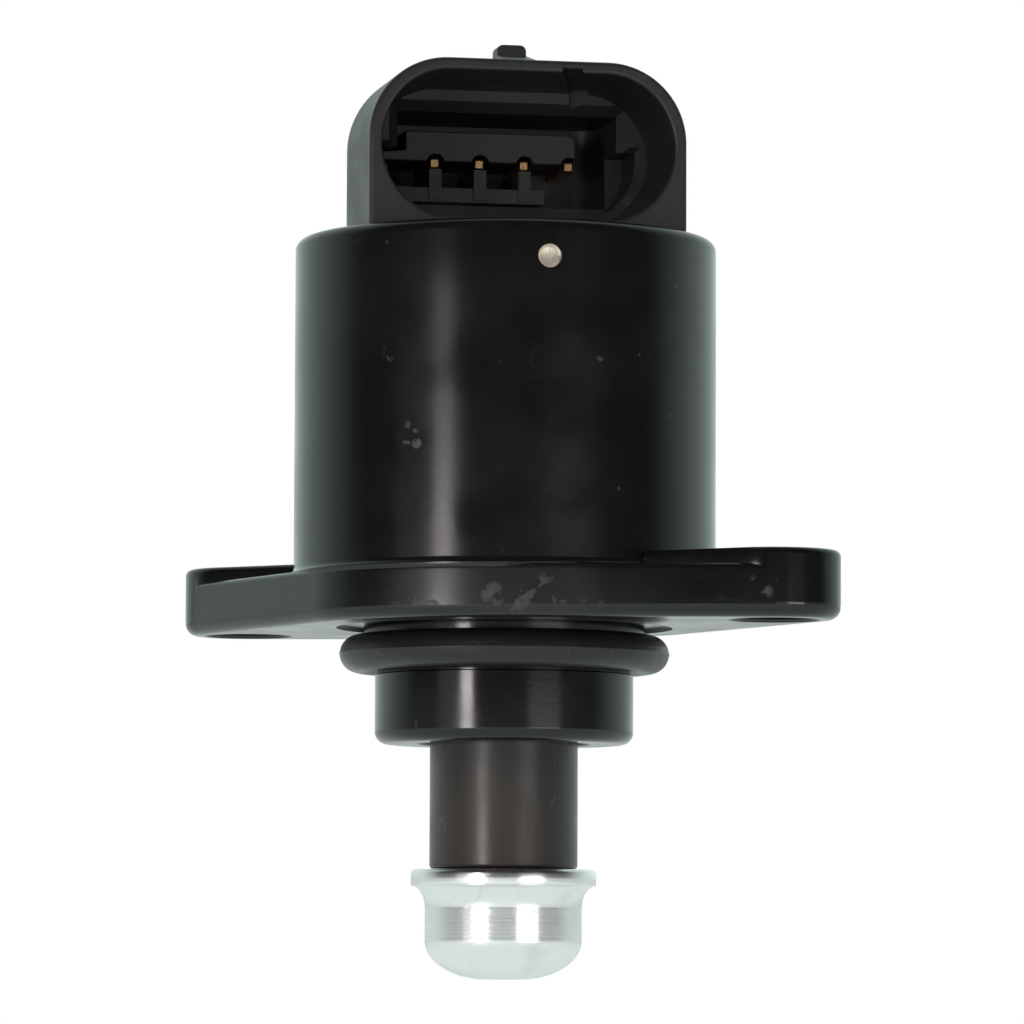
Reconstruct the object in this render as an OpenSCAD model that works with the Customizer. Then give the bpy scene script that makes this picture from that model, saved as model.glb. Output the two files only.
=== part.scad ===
// Idle air control valve: a stepper motor in a moulded body turns a nut that slides a pintle.
// The origin is on the axis, in the seating face of the flange. The pintle points down and
// the connector stands on top. All sizes are in millimetres.

/* [Body] */
// Wall of the body round the motor
body_wall = 1.6; // [1.2:0.1:2]
// Thickness of the floor under the motor
floor_t = 4.6; // [4.6:0.1:6]
// Rounding of the upper edge of the body
body_edge_r = 0.9; // [0.4:0.1:1]
// Diameter of the round moulding mark on the body
mark_d = 1.9; // [1:0.1:3]
// Depth of the moulding mark
mark_depth = 0.5; // [0.2:0.1:0.8]
// Depth of the moulding mark's centre below the rim of the body
mark_drop = 3; // [2.5:0.5:10]

/* [Flange] */
// Thickness of the flange plate
flange_t = 4.2; // [3:0.1:4.4]
// How far the round middle of the flange stands out past the body
flange_ledge = 0.3; // [0.1:0.1:1]
// Distance between the two bolt holes
hole_spacing = 50; // [49:0.5:60]
// Diameter of a bolt hole
hole_d = 6.8; // [5:0.1:7]
// Radius of the round end of each ear
ear_r = 5.2; // [5:0.1:6]
// Height of a bolt pad above the flange plate
pad_h = 1.25; // [0.6:0.05:3]
// Rounding of the lower edge of the flange
flange_edge_r = 1; // [0.5:0.1:1.2]
// Rounding of the upper edges of the flange and the pads
pad_edge_r = 0.5; // [0.3:0.1:0.8]

/* [Neck] */
// Outside diameter of the neck that enters the throttle body
neck_d = 20.8; // [20:0.2:22]
// Length of the neck below the seating face
neck_len = 9.35; // [9:0.05:12]
// Rounding of the lower edge of the neck
neck_edge_r = 1; // [0.4:0.1:1.2]
// How far the collar at the root of the neck stands out
collar_step = 0.9; // [0.5:0.1:1.4]
// Height of the collar at the root of the neck
collar_h = 0.55; // [0.3:0.05:0.8]
// Thickness of the lip that closes the neck round the pintle
lip_t = 1.3; // [1:0.1:1.6]
// Gap between the lip and the pintle sleeve
lip_gap = 1; // [0.6:0.1:1.2]

/* [Seals] */
// Section of the O-ring on the neck
o_ring_section = 3; // [2:0.1:3.2]
// Depth of the groove round the neck that the O-ring sits in
o_ring_groove = 0.2; // [0.1:0.05:0.4]
// Depth of the relief round the O-ring in the seating face
seat_relief = 0.3; // [0.1:0.1:0.5]
// Gap between the O-ring and the edge of its relief
seat_relief_gap = 0.3; // [0.2:0.1:1]
// Section of the square gasket under the cap, across the wall
cap_seal_w = 0.5; // [0.4:0.1:0.8]
// Height of the gasket under the cap
cap_seal_h = 0.5; // [0.4:0.1:1]

/* [Pintle] */
// Outside diameter of the pintle sleeve
sleeve_d = 11.9; // [11:0.1:12.4]
// Length of the sleeve that shows below the neck
sleeve_out = 10; // [9:0.25:14]
// Height of the sleeve's top below the seating face
sleeve_top_drop = 0.6; // [0:0.1:1]
// How far the pintle can still move out of the photographed position
travel_out = 1.25; // [1:0.25:1.25]
// How far the pintle can move in from the photographed position
travel_in = 8.75; // [6:0.25:8.75]
// Width of the two guide keys on the sleeve
key_w = 2; // [1.5:0.1:3]
// How far a guide key stands out from the sleeve
key_step = 0.7; // [0.5:0.1:0.8]
// Length of a guide key
key_len = 4.6; // [4:0.1:5]
// Diameter of the rim of the metal tip
tip_rim_d = 14.9; // [14:0.1:16]
// Height of the rim of the metal tip
tip_rim_h = 1.3; // [1:0.1:1.6]
// Height of the hollow curve under the rim
tip_cove_h = 1.8; // [1.5:0.1:2.2]
// Diameter of the straight part of the metal tip
tip_d = 12.6; // [12:0.1:13.4]
// Length of the straight part of the metal tip
tip_straight = 2.6; // [2:0.1:4]
// Height of the domed end of the metal tip
tip_dome_h = 3.1; // [2.6:0.1:4]
// Diameter of the small flat on the end of the tip
tip_flat_d = 2.6; // [1.5:0.1:4]
// Diameter of the peg under the sleeve that carries the tip
tip_peg_d = 6; // [5:0.2:7]
// Length of the peg that carries the tip
tip_peg_len = 5; // [3:0.2:6]

/* [Lead screw] */
// Diameter of the lead screw
screw_d = 4; // [3.6:0.1:4.2]
// Length of the lead screw from its seat in the sleeve
screw_len = 33.6; // [32:0.2:34]
// Depth of the screw's seat below the top of the sleeve
screw_seat = 14; // [12:0.2:14.4]
// Diameter of the head that locks the screw in the sleeve
screw_head_d = 6.4; // [5.4:0.1:7]
// Height of the locking head
screw_head_h = 2.4; // [1.5:0.1:3]

/* [Stator] */
// Height of one coil unit
coil_h = 9; // [8:0.1:9.4]
// Thickness of the steel sheet of the pole cups
yoke_t = 0.8; // [0.6:0.1:1]
// Number of claw poles on each pole plate
claws = 6; // [4:1:8]
// Width of a claw at its root
claw_root_w = 5; // [4:0.1:5.2]
// Width of a claw at its tip
claw_tip_w = 2.2; // [1.6:0.1:2.6]
// Gap between the tip of a claw and the plate facing it
claw_end_gap = 0.5; // [0.3:0.1:1]
// Wall of the coil bobbins
bobbin_wall = 0.6; // [0.5:0.1:0.8]
// Depth of a winding from its first layer to its last, which sets the diameter of the body
winding_w = 4.35; // [4:0.05:6]
// Depth of the last layer below the edge of the bobbin
winding_drop = 0.5; // [0.3:0.1:1.5]
// Height of the shield's rim, which carries the pole cups
shield_h = 4.4; // [4:0.1:5]
// Thickness of the shield's plate
shield_t = 2; // [1.5:0.1:3]

/* [Rotor] */
// Diameter of the ring magnet
magnet_d = 15.1; // [14.4:0.1:15.6]
// Wall of the ring magnet
magnet_wall = 1.3; // [1.2:0.1:2]
// Length of the ring magnet
magnet_len = 13.8; // [12.5:0.1:13.8]
// Air gap between the magnet and the claw poles
air_gap = 0.35; // [0.3:0.05:0.6]
// Diameter of the brass nut inside the rotor
nut_d = 7.2; // [6.8:0.1:7.6]
// Diameter of the rotor's lower journal
journal_d = 8.8; // [8.4:0.1:9.4]
// Height of the front bush
bush_h = 2.2; // [1.8:0.1:3]
// Thickness of the shield's collar round the front bush
bush_collar_t = 0.75; // [0.6:0.05:0.8]
// Axial play of the rotor on the front bush
rotor_play = 0.1; // [0.05:0.05:0.3]

/* [Ball bearing] */
// Bore of the ball bearing
bearing_bore = 6; // [5.8:0.1:6.2]
// Outside diameter of the ball bearing
bearing_od = 14; // [13.6:0.1:14]
// Width of the ball bearing
bearing_w = 3; // [2.8:0.1:3]
// Number of balls
balls = 8; // [6:1:9]
// Diameter of a ball
ball_d = 1.96; // [1.8:0.02:2]
// Thickness of the spring washer above the bearing
spring_washer_t = 0.2; // [0.15:0.05:0.3]
// Height of the waves of the spring washer
spring_washer_wave = 0.3; // [0.2:0.05:0.4]

/* [Cap and connector] */
// Thickness of the cap's disc
cap_t = 1.7; // [1.6:0.1:2.5]
// How far the cap's disc lies below the rim of the body
cap_recess = 0.3; // [0.1:0.1:0.6]
// Space between the pole cups and the cap's seat
cap_space = 1.8; // [1.8:0.1:2.6]
// Direction that the connector faces, about the axis
connector_turn = -46; // [-90:1:0]
// Distance from the axis to the front face of the connector
connector_front = 9.1; // [8.6:0.1:9.4]
// Width of the connector
connector_w = 25.8; // [25.2:0.1:26]
// Height of the connector above the cap
connector_h = 13.9; // [13.6:0.05:15]
// Radius of the connector's upper corners
connector_corner_r = 6.4; // [6:0.1:7]
// Wall round the mouth of the connector
connector_wall = 1; // [0.8:0.1:1.1]
// Height of the connector's mouth
socket_h = 11.7; // [11.4:0.1:12.2]
// Depth of the wide outer part of the socket
socket_depth = 8; // [7:0.1:9.4]
// How far the walls of the wide outer part close in towards its bottom
socket_draft = 0.5; // [0.1:0.1:0.6]
// Width of the inner tunnel that takes the plug's nose
tunnel_w = 18.1; // [17:0.1:18.4]
// Depth of the tunnel's back wall behind the front face
tunnel_depth = 17.4; // [16.4:0.1:17.6]
// Height of the tunnel's roof above the centre of the pins
tunnel_roof = 3.9; // [3.4:0.1:4]
// Width of the wide lower part of the inner opening
keyway_w = 21; // [20:0.1:21.4]
// Depth of the wide lower part behind the ledge
keyway_depth = 5; // [3:0.1:5.4]
// Distance from the middle of the connector to the right end of the shelf above the pins
shelf_end = 6.05; // [5.6:0.05:7]
// Distance from the middle of the connector to the left end of the shelf above the pins
shelf_start = 8; // [7:0.1:8.4]
// Thickness of the shelf above the pins
shelf_h = 2.45; // [2:0.05:2.8]
// Depth of the shelf's front behind the front face
shelf_depth = 10.5; // [10:0.1:11]
// Lead-in chamfer round the inner opening
lead_in = 0.85; // [0.5:0.05:1]
// Width of the groove in the roof of the mouth
groove_w = 1.6; // [1:0.1:2.4]
// Depth of the groove in the roof of the mouth
groove_depth = 0.4; // [0.2:0.05:0.6]
// Offset of the groove's front end from the middle of the connector
groove_offset = 3.5; // [2:0.1:4]
// Slant of the groove to the connector's own direction
groove_slant = 16; // [0:1:20]
// Width of the latch on the connector's roof
latch_w = 2.4; // [2:0.05:4]
// Height of the latch above the roof
latch_h = 2.2; // [1.5:0.05:3]
// Length of the upright part of the latch
latch_len = 1.9; // [1.5:0.1:3]
// Distance from the axis to the front of the latch's upright part
latch_place = 2.1; // [0:0.1:3]
// Height of the ramp that leads up to the latch
latch_ramp_h = 1.4; // [0.6:0.1:1.4]
// Length of the ramp that leads up to the latch
latch_ramp_len = 6; // [3:0.1:6]

/* [Terminals] */
// Distance between neighbouring pins
pin_pitch = 3.7; // [3.4:0.1:3.9]
// Section of a terminal
pin_w = 0.9; // [0.6:0.05:0.9]
// Height of the pins above the cap's disc
pin_height = 6.8; // [6.6:0.05:7]
// Depth of the pin tips behind the front face
pin_depth = 11; // [10.2:0.1:12]
// Width of the ribs under the pins
rib_w = 1; // [0.8:0.1:1.4]
// Depth of the ribs' front faces behind the front face of the connector
rib_depth = 10.6; // [10:0.1:11]
// Height of the sill under the pins
sill_h = 1.15; // [0.8:0.05:1.4]
// Distance from the middle of the connector to the right end of the sill
sill_end = 3.5; // [3.4:0.1:4.4]

/* [Fits] */
// Gap between pieces that are fixed to each other
seat_gap = 0.05; // [0.02:0.01:0.08]
// Radial clearance of shafts and sleeves that run in a bore
running_gap = 0.05; // [0.03:0.01:0.08]

/* [Hidden] */
$fn = 64;
ARC_STEPS = 6;
FACETS = 40;
OVER = 1;
TERMINALS = 4;

claw_r = magnet_d / 2 + air_gap;
bobbin_r = claw_r + yoke_t + 3 * seat_gap;
winding_r = bobbin_r + bobbin_wall + seat_gap;
winding_out_r = winding_r + winding_w;
bobbin_flange_r = winding_out_r + winding_drop;
cup_r = bobbin_flange_r + yoke_t + 4 * seat_gap;
bore_r = cup_r + seat_gap;
body_r = bore_r + body_wall;
cap_r = bore_r + cap_seal_w + seat_gap;
flange_r = body_r + flange_ledge;
pad_top = flange_t + pad_h;
ear_x = hole_spacing / 2;

neck_r = neck_d / 2;
collar_r = neck_r + collar_step;
groove_r = neck_r - o_ring_groove;
o_ring_r = groove_r + seat_gap + o_ring_section / 2;
o_ring_z = -collar_h - o_ring_section / 2 - seat_gap;
groove_z = o_ring_z - o_ring_section / 2 - 3 * seat_gap;
relief_r = o_ring_r + o_ring_section / 2 + seat_relief_gap;
neck_z = -neck_len;
lip_z = neck_z + lip_t;

sleeve_r = sleeve_d / 2;
sleeve_top = -sleeve_top_drop;
sleeve_z = neck_z - sleeve_out;
key_r = sleeve_r + key_step;
key_z = lip_z + travel_out + 2 * seat_gap;
key_slot_gap = 0.15;
guide_r = key_r + key_slot_gap + 1.3;
guide_z0 = lip_z + seat_gap;
guide_z1 = floor_t - 4 * seat_gap;
lip_r = sleeve_r + lip_gap;

screw_r = screw_d / 2;
screw_z = sleeve_top - screw_seat;
screw_top = screw_z + screw_len;
tip_z = sleeve_z - seat_gap;
tip_straight_z = tip_z - tip_rim_h - tip_cove_h;
tip_dome_z = tip_straight_z - tip_straight;
tip_end = tip_dome_z - tip_dome_h;

stator_z = floor_t + shield_h;
stator_top = stator_z + 2 * coil_h;
bobbin_z = yoke_t + seat_gap;
bobbin_len = coil_h - 2 * (yoke_t + seat_gap);
claw_len = coil_h - 2 * yoke_t - claw_end_gap;

bush_z = sleeve_top + travel_in + 8 * seat_gap;
bush_top = bush_z + bush_h;
journal_r = journal_d / 2;
bush_r = claw_r - 5 * seat_gap - bush_collar_t;
rotor_z = bush_top + rotor_play;
magnet_r = magnet_d / 2;
hub_r = magnet_r - magnet_wall - seat_gap;
rotor_top = rotor_z + magnet_len;
nut_r = nut_d / 2;

bearing_z = rotor_top + 12 * seat_gap;
bearing_top = bearing_z + bearing_w;
bearing_r = bearing_od / 2;
bearing_bore_r = bearing_bore / 2;
ball_r = ball_d / 2;
ball_ring_r = (bearing_r + bearing_bore_r) / 2;
ball_z = bearing_z + bearing_w / 2;
race_gap = 0.04;
race_land = 0.85;

seal_z = stator_top + cap_space;
cap_z = seal_z + cap_seal_h;
cap_top = cap_z + cap_t;
body_top = cap_top + cap_recess;
boss_r = claw_r - 3 * seat_gap;
washer_room = spring_washer_t + spring_washer_wave;
washer_z = bearing_top + seat_gap;

connector_top = cap_top + connector_h;
half_w = connector_w / 2;
socket_top = connector_top - connector_wall;
socket_z = socket_top - socket_h;
socket_r = socket_h / 2;
socket_half = half_w - connector_wall;
pin_z = cap_top + pin_height;
ledge_s = connector_front - socket_depth;
tunnel_s = connector_front - tunnel_depth;
tunnel_half = tunnel_w / 2;
tunnel_top = pin_z + tunnel_roof;
keyway_half = keyway_w / 2;
keyway_z = socket_z + connector_wall;
keyway_top = pin_z + 1;
keyway_r = (keyway_top - keyway_z) * 0.85;
shelf_z = pin_z + 2 * seat_gap;
shelf_top = shelf_z + shelf_h;
sill_top = pin_z - 2;
pin_tip_s = connector_front - pin_depth;
leg_s = tunnel_s - pin_w - seat_gap;
press_ring_r = 12.9;
tail_z = stator_top + 8 * seat_gap;

// Points along an arc about [x, z], from angle a0 to angle a1.
function arc(x, z, r, a0, a1, n = ARC_STEPS) =
    [for (i = [0 : n]) let (a = a0 + (a1 - a0) * i / n) [x + r * cos(a), z + r * sin(a)]];

// A ring between two radii and two heights.
module ring(r_in, r_out, z0, z1) {
    rotate_extrude() translate([r_in, z0]) square([r_out - r_in, z1 - z0]);
}

// A disc with a rounded lower and upper edge.
module rounded_disc(r, z0, z1, low_r, top_r) {
    rotate_extrude($fn = FACETS) polygon(concat(
        [[0, z0]],
        arc(r - low_r, z0 + low_r, low_r, -90, 0, 4),
        arc(r - top_r, z1 - top_r, top_r, 0, 90, 3),
        [[0, z1]]
    ));
}

// Turns and places a shape that is drawn with the connector facing along X.
module facing_connector() {
    rotate([0, 0, connector_turn]) children();
}

module flange_plate() {
    hull() {
        rounded_disc(flange_r, 0, flange_t, flange_edge_r, pad_edge_r);
        for (side = [-1, 1]) {
            translate([side * ear_x, 0, 0])
                rounded_disc(ear_r, 0, flange_t, flange_edge_r, pad_edge_r);
        }
    }
}

// A bolt pad keeps the ear's width and runs straight into the body.
module bolt_pad(side) {
    hull() {
        for (x = [ear_x, bore_r])
            translate([side * x, 0, 0])
                rounded_disc(ear_r, 0, pad_top, flange_edge_r, pad_edge_r);
    }
}

// The body's wall, floor and neck in one turned profile.
module body_shell() {
    rotate_extrude() polygon(concat(
        [[lip_r, neck_z]],
        arc(neck_r - neck_edge_r, neck_z + neck_edge_r, neck_edge_r, -90, 0),
        [[neck_r, groove_z], [groove_r, groove_z], [groove_r, -collar_h], [collar_r, -collar_h]],
        [[collar_r, flange_t / 2], [body_r, flange_t / 2]],
        arc(body_r - body_edge_r, body_top - body_edge_r, body_edge_r, 0, 90),
        [[cap_r + seat_gap, body_top], [cap_r + seat_gap, seal_z], [bore_r, seal_z]],
        [[bore_r, floor_t], [guide_r + seat_gap, floor_t]],
        [[guide_r + seat_gap, lip_z], [lip_r, lip_z]]
    ));
}

module valve_body() {
    color("#1c1c1e") difference() {
        union() {
            body_shell();
            difference() {
                union() {
                    flange_plate();
                    bolt_pad(-1);
                    bolt_pad(1);
                }
                translate([0, 0, -OVER]) cylinder(r = collar_r - OVER, h = flange_t + OVER * 2);
                ring(collar_r - OVER, relief_r, -OVER, seat_relief);
                translate([0, 0, floor_t - seat_gap]) cylinder(r = body_r - OVER / 2, h = pad_top);
            }
        }
        for (side = [-1, 1])
            translate([side * ear_x, 0, -OVER]) cylinder(d = hole_d, h = pad_top + OVER * 2);
        facing_connector()
            translate([body_r - mark_depth, 0, body_top - mark_drop])
                rotate([0, 90, 0]) cylinder(d = mark_d, h = OVER);
    }
}

// The connector's outline seen from the front, as a solid along its depth.
module connector_front_form() {
    corner_y = half_w - connector_corner_r;
    corner_z = connector_top - connector_corner_r;
    depth = connector_front + body_r;
    translate([-body_r, 0, 0]) rotate([90, 0, 90]) linear_extrude(depth) union() {
        for (side = [-1, 1]) translate([side * corner_y, corner_z]) circle(connector_corner_r);
        translate([-corner_y, cap_top - OVER / 2])
            square([2 * corner_y, connector_top - cap_top + OVER / 2]);
        translate([-half_w, cap_top - OVER / 2])
            square([connector_w, corner_z - cap_top + OVER / 2]);
    }
}

// The connector's outline seen from above: flat sides and a half round back about the axis.
module connector_plan_form() {
    translate([0, 0, cap_top - OVER / 2]) linear_extrude(connector_h + OVER) union() {
        circle(half_w);
        translate([0, -half_w]) square([connector_front, connector_w]);
    }
}

// A thin slice of the socket's outline at depth s, smaller all round by inset.
module mouth_slice(s, inset) {
    y = socket_half - socket_r;
    for (side = [-1, 1]) translate([s, side * y, socket_z + socket_r]) rotate([0, 90, 0])
        cylinder(r = socket_r - inset, h = 0.01, $fn = 48);
}

// The wide mouth of the socket has round ends and closes in towards its bottom.
module socket_mouth() {
    grow = socket_draft * OVER / socket_depth;
    hull() {
        mouth_slice(ledge_s, socket_draft);
        mouth_slice(connector_front + OVER, -grow);
    }
    translate([connector_front, groove_offset, socket_top + groove_depth]) rotate([0, 0, -groove_slant])
        rotate([0, -atan(socket_draft / socket_depth), 0])
            translate([OVER / 2 - socket_depth, -groove_w / 2, -OVER - groove_depth])
                cube([socket_depth + OVER / 2, groove_w, OVER + groove_depth]);
}

// One side of the lead-in: a wedge that widens towards the front.
module lead_in_wedge(len) {
    translate([ledge_s - lead_in, -len / 2, 0]) rotate([90, 0, 0]) mirror([0, 0, 1])
        linear_extrude(len) polygon([[0, -OVER], [0, 0], [lead_in + 0.01, lead_in + 0.01],
            [lead_in + 0.01, -OVER]]);
}

// The tunnel for the plug's nose, widened at its mouth.
module tunnel() {
    h = tunnel_top - sill_top;
    translate([tunnel_s, -tunnel_half, sill_top])
        cube([tunnel_depth - socket_depth + 0.01, tunnel_w, h]);
    translate([0, 0, tunnel_top]) lead_in_wedge(tunnel_w);
    for (side = [-1, 1]) {
        translate([0, side * tunnel_half, (tunnel_top + keyway_top) / 2]) rotate([-90 * side, 0, 0])
            lead_in_wedge(tunnel_top - keyway_top);
    }
}

// The wide lower part of the inner opening, with round lower corners.
module keyway() {
    y = keyway_half - keyway_r;
    z = keyway_z + keyway_r;
    translate([ledge_s - keyway_depth, 0, 0]) rotate([90, 0, 90])
        linear_extrude(keyway_depth + 0.01) union() {
            for (side = [-1, 1]) translate([side * y, z]) intersection() {
                circle(keyway_r);
                translate([-keyway_r, -keyway_r]) square([2 * keyway_r, keyway_r]);
            }
            translate([-y, keyway_z]) square([2 * y, keyway_top - keyway_z]);
            translate([-keyway_half, z]) square([keyway_w, keyway_top - z]);
        }
    for (side = [-1, 1]) intersection() {
        translate([ledge_s - lead_in, side * y, z]) rotate([0, 90, 0])
            cylinder(r1 = keyway_r, r2 = keyway_r + lead_in, h = lead_in + 0.01);
        translate([ledge_s - OVER, side * y - (1 - side) / 2 * 2 * keyway_r, keyway_z - OVER])
            cube([2 * OVER, 2 * keyway_r, keyway_r + OVER]);
    }
    translate([0, 0, keyway_z]) mirror([0, 0, 1]) lead_in_wedge(2 * y);
    for (side = [-1, 1])
        translate([0, side * keyway_half, (z + keyway_top) / 2]) rotate([-90 * side, 0, 0])
            lead_in_wedge(keyway_top - z);
}

// Where the pins stand across the connector.
function pin_y(i) = (i - (TERMINALS - 1) / 2) * pin_pitch;

// What stays of the plastic inside the socket: the shelf above the pins, the sill below them,
// and a rib under each pin that has the sill below it.
module pin_supports() {
    back = tunnel_s - OVER / 2;
    front = connector_front - rib_depth;
    shelf_front = connector_front - shelf_depth;
    edge = 0.4;
    difference() {
        translate([back, 0, 0]) rotate([90, 0, 90]) linear_extrude(shelf_front - back)
            polygon([[-half_w, shelf_z], [shelf_end, shelf_z], [shelf_end, shelf_top - edge],
                [shelf_end - edge, shelf_top], [-shelf_start, shelf_top],
                [-shelf_start, shelf_z + 2 * edge], [-half_w, shelf_z + edge]]);
        for (i = [0 : TERMINALS - 1])
            translate([back - OVER, pin_y(i), pin_z]) rotate([0, 90, 0])
                cylinder(r = pin_w * 0.75 + seat_gap, h = shelf_front - back + 2 * OVER);
    }
    translate([back, -half_w, sill_top - sill_h])
        cube([front - 0.2 - back, half_w + sill_end, sill_h]);
    for (i = [0 : TERMINALS - 2])
        translate([back, pin_y(i) - rib_w / 2, sill_top - sill_h])
            cube([front - back, rib_w, pin_z - pin_w / 2 - seat_gap - sill_top + sill_h]);
}

module socket_space() {
    socket_mouth();
    difference() {
        union() {
            tunnel();
            keyway();
        }
        pin_supports();
    }
}

// A low ramp leads the plug's clip up to the upright part of the latch, whose top is rounded.
module latch() {
    edge = latch_len / 4;
    translate([latch_place, latch_w / 2, connector_top]) rotate([90, 0, 0])
        linear_extrude(latch_w) polygon(concat(
            [[-latch_len, -OVER], [latch_ramp_len, -OVER], [latch_ramp_len, 0], [0, latch_ramp_h]],
            arc(-edge, latch_h - edge, edge, 0, 90, 3),
            arc(edge - latch_len, latch_h - edge, edge, 90, 180, 3)
        ));
}

// One bent terminal: the pin in the socket and the leg through the back wall and the disc.
module terminal_form(i, gap = 0) {
    w = pin_w + 2 * gap;
    y = pin_y(i) - w / 2;
    x0 = leg_s - w / 2;
    translate([x0, y, pin_z - w / 2]) cube([pin_tip_s + gap - x0, w, w]);
    translate([x0, y, tail_z - gap]) cube([w, w, pin_z - tail_z + w / 2 + gap]);
}

module terminal(i) {
    color("#b88a4a") facing_connector() terminal_form(i);
}

module connector_cap() {
    color("#2e2c2b") difference() {
        union() {
            ring(0, cap_r, cap_z, cap_top);
            ring(bearing_r + seat_gap, boss_r, bearing_z, cap_z + OVER / 2);
            ring(ball_ring_r + ball_r, boss_r, washer_z + washer_room, cap_z + OVER / 2);
            ring(press_ring_r, bore_r - 2 * seat_gap, stator_top + seat_gap, cap_z + OVER / 2);
            facing_connector() {
                intersection() {
                    connector_front_form();
                    connector_plan_form();
                }
                latch();
            }
        }
        ring(cap_r, cap_r + connector_w, cap_top - OVER, body_top + 2 * seat_gap);
        facing_connector() {
            socket_space();
            for (i = [0 : TERMINALS - 1]) terminal_form(i, seat_gap);
        }
    }
}

module cap_seal() {
    color("#3a2f28") ring(bore_r + seat_gap, bore_r + cap_seal_w, seal_z, cap_z - seat_gap);
}

module o_ring() {
    color("#2b2320") rotate_extrude()
        translate([o_ring_r, o_ring_z]) circle(d = o_ring_section);
}

// The bush in the neck guides the sleeve, and its two slots keep the sleeve from turning.
module guide_bush() {
    color("#d8d2c4") difference() {
        ring(sleeve_r + running_gap, guide_r, guide_z0, guide_z1);
        for (side = [0, 180]) rotate([0, 0, side])
            translate([0, -key_w / 2 - key_slot_gap, guide_z0 - OVER])
                cube([key_r + key_slot_gap, key_w + 2 * key_slot_gap, guide_z1 - guide_z0 + 2 * OVER]);
    }
}

// The shield under the motor carries the pole cups on its rim and the front bush in its collar.
module motor_shield() {
    z = floor_t + seat_gap;
    rim_in = claw_r + yoke_t + 4;
    color("#c9c3b6") rotate_extrude() polygon([
        [key_r + 2 * key_slot_gap, z], [cup_r, z], [cup_r, stator_z],
        [rim_in, stator_z], [rim_in, z + shield_t], [bush_r + bush_collar_t, z + shield_t],
        [bush_r + bush_collar_t, bush_top], [bush_r + seat_gap, bush_top],
        [bush_r + seat_gap, bush_z], [sleeve_r + 2 * key_slot_gap, bush_z],
        [sleeve_r + 2 * key_slot_gap, bush_z - 1], [key_r + 2 * key_slot_gap, bush_z - 1]
    ]);
}

// Claws standing on a pole plate at height 0, pointing up.
module claw_ring(turn) {
    intersection() {
        ring(claw_r, claw_r + yoke_t, 0, coil_h);
        for (i = [0 : claws - 1])
            rotate([0, 0, turn + i * 360 / claws]) rotate([90, 0, 90]) linear_extrude(body_r)
                polygon([[-claw_root_w / 2, 0], [claw_root_w / 2, 0],
                    [claw_tip_w / 2, yoke_t + claw_len], [-claw_tip_w / 2, yoke_t + claw_len]]);
    }
}

module pole_plate(turn) {
    ring(claw_r, bobbin_flange_r, 0, yoke_t);
    claw_ring(turn);
}

module pole_cup(turn) {
    ring(claw_r, cup_r, 0, yoke_t);
    ring(cup_r - yoke_t, cup_r, 0, coil_h - seat_gap);
    claw_ring(turn);
}

claw_step = 180 / claws;

module lower_pole_cup() {
    color("#9a9c9e") translate([0, 0, stator_z + seat_gap / 2]) pole_cup(0);
}

module lower_pole_plate() {
    color("#a6a8aa") translate([0, 0, stator_z + coil_h - seat_gap / 2])
        mirror([0, 0, 1]) pole_plate(claw_step);
}

module upper_pole_plate() {
    color("#a6a8aa") translate([0, 0, stator_z + coil_h + seat_gap / 2])
        pole_plate(claw_step / 2);
}

module upper_pole_cup() {
    color("#9a9c9e") translate([0, 0, stator_top - seat_gap / 2])
        mirror([0, 0, 1]) pole_cup(claw_step * 3 / 2);
}

module bobbin(z) {
    color("#e6ddc8") {
        translate([0, 0, z]) rotate_extrude() polygon([
            [bobbin_r, 0], [bobbin_flange_r, 0], [bobbin_flange_r, bobbin_wall],
            [bobbin_r + bobbin_wall, bobbin_wall],
            [bobbin_r + bobbin_wall, bobbin_len - bobbin_wall],
            [bobbin_flange_r, bobbin_len - bobbin_wall],
            [bobbin_flange_r, bobbin_len], [bobbin_r, bobbin_len]
        ]);
    }
}

module winding(z) {
    color("#b4652f") ring(winding_r, winding_out_r,
        z + bobbin_wall + seat_gap, z + bobbin_len - bobbin_wall - seat_gap);
}

lower_bobbin_z = stator_z + bobbin_z;
upper_bobbin_z = stator_z + coil_h + bobbin_z;

module front_bush() {
    color("#b08d4c") ring(journal_r + running_gap, bush_r, bush_z + seat_gap, bush_top);
}

module rotor_magnet() {
    color("#4a4a4e") ring(hub_r + seat_gap, magnet_r, rotor_z, rotor_top);
}

module rotor_hub() {
    color("#dcd6c8") rotate_extrude() polygon([
        [nut_r + seat_gap, bush_z + 6 * seat_gap], [journal_r, bush_z + 6 * seat_gap],
        [journal_r, rotor_z], [hub_r, rotor_z], [hub_r, rotor_top],
        [nut_r + seat_gap, rotor_top]
    ]);
}

module rotor_nut() {
    color("#c8a24e") rotate_extrude() polygon([
        [screw_r + running_gap, bush_z + 6 * seat_gap], [nut_r, bush_z + 6 * seat_gap],
        [nut_r, bearing_z - seat_gap], [bearing_bore_r - seat_gap, bearing_z - seat_gap],
        [bearing_bore_r - seat_gap, bearing_top + 4 * seat_gap],
        [screw_r + running_gap, bearing_top + 4 * seat_gap]
    ]);
}

// The groove that the balls run in, shared by both races.
module ball_track() {
    rotate_extrude() translate([ball_ring_r, ball_z]) circle(r = ball_r + race_gap);
}

module bearing_outer_race() {
    color("#c4c8cc") difference() {
        ring(ball_ring_r + race_land, bearing_r, bearing_z, bearing_top);
        ball_track();
    }
}

module bearing_inner_race() {
    color("#c4c8cc") difference() {
        ring(bearing_bore_r, ball_ring_r - race_land, bearing_z, bearing_top);
        ball_track();
    }
}

module ball_set(r) {
    for (i = [0 : balls - 1]) rotate([0, 0, i * 360 / balls])
        translate([ball_ring_r, 0, ball_z]) sphere(r = r);
}

module bearing_balls() {
    color("#dfe3e6") ball_set(ball_r);
}

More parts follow.
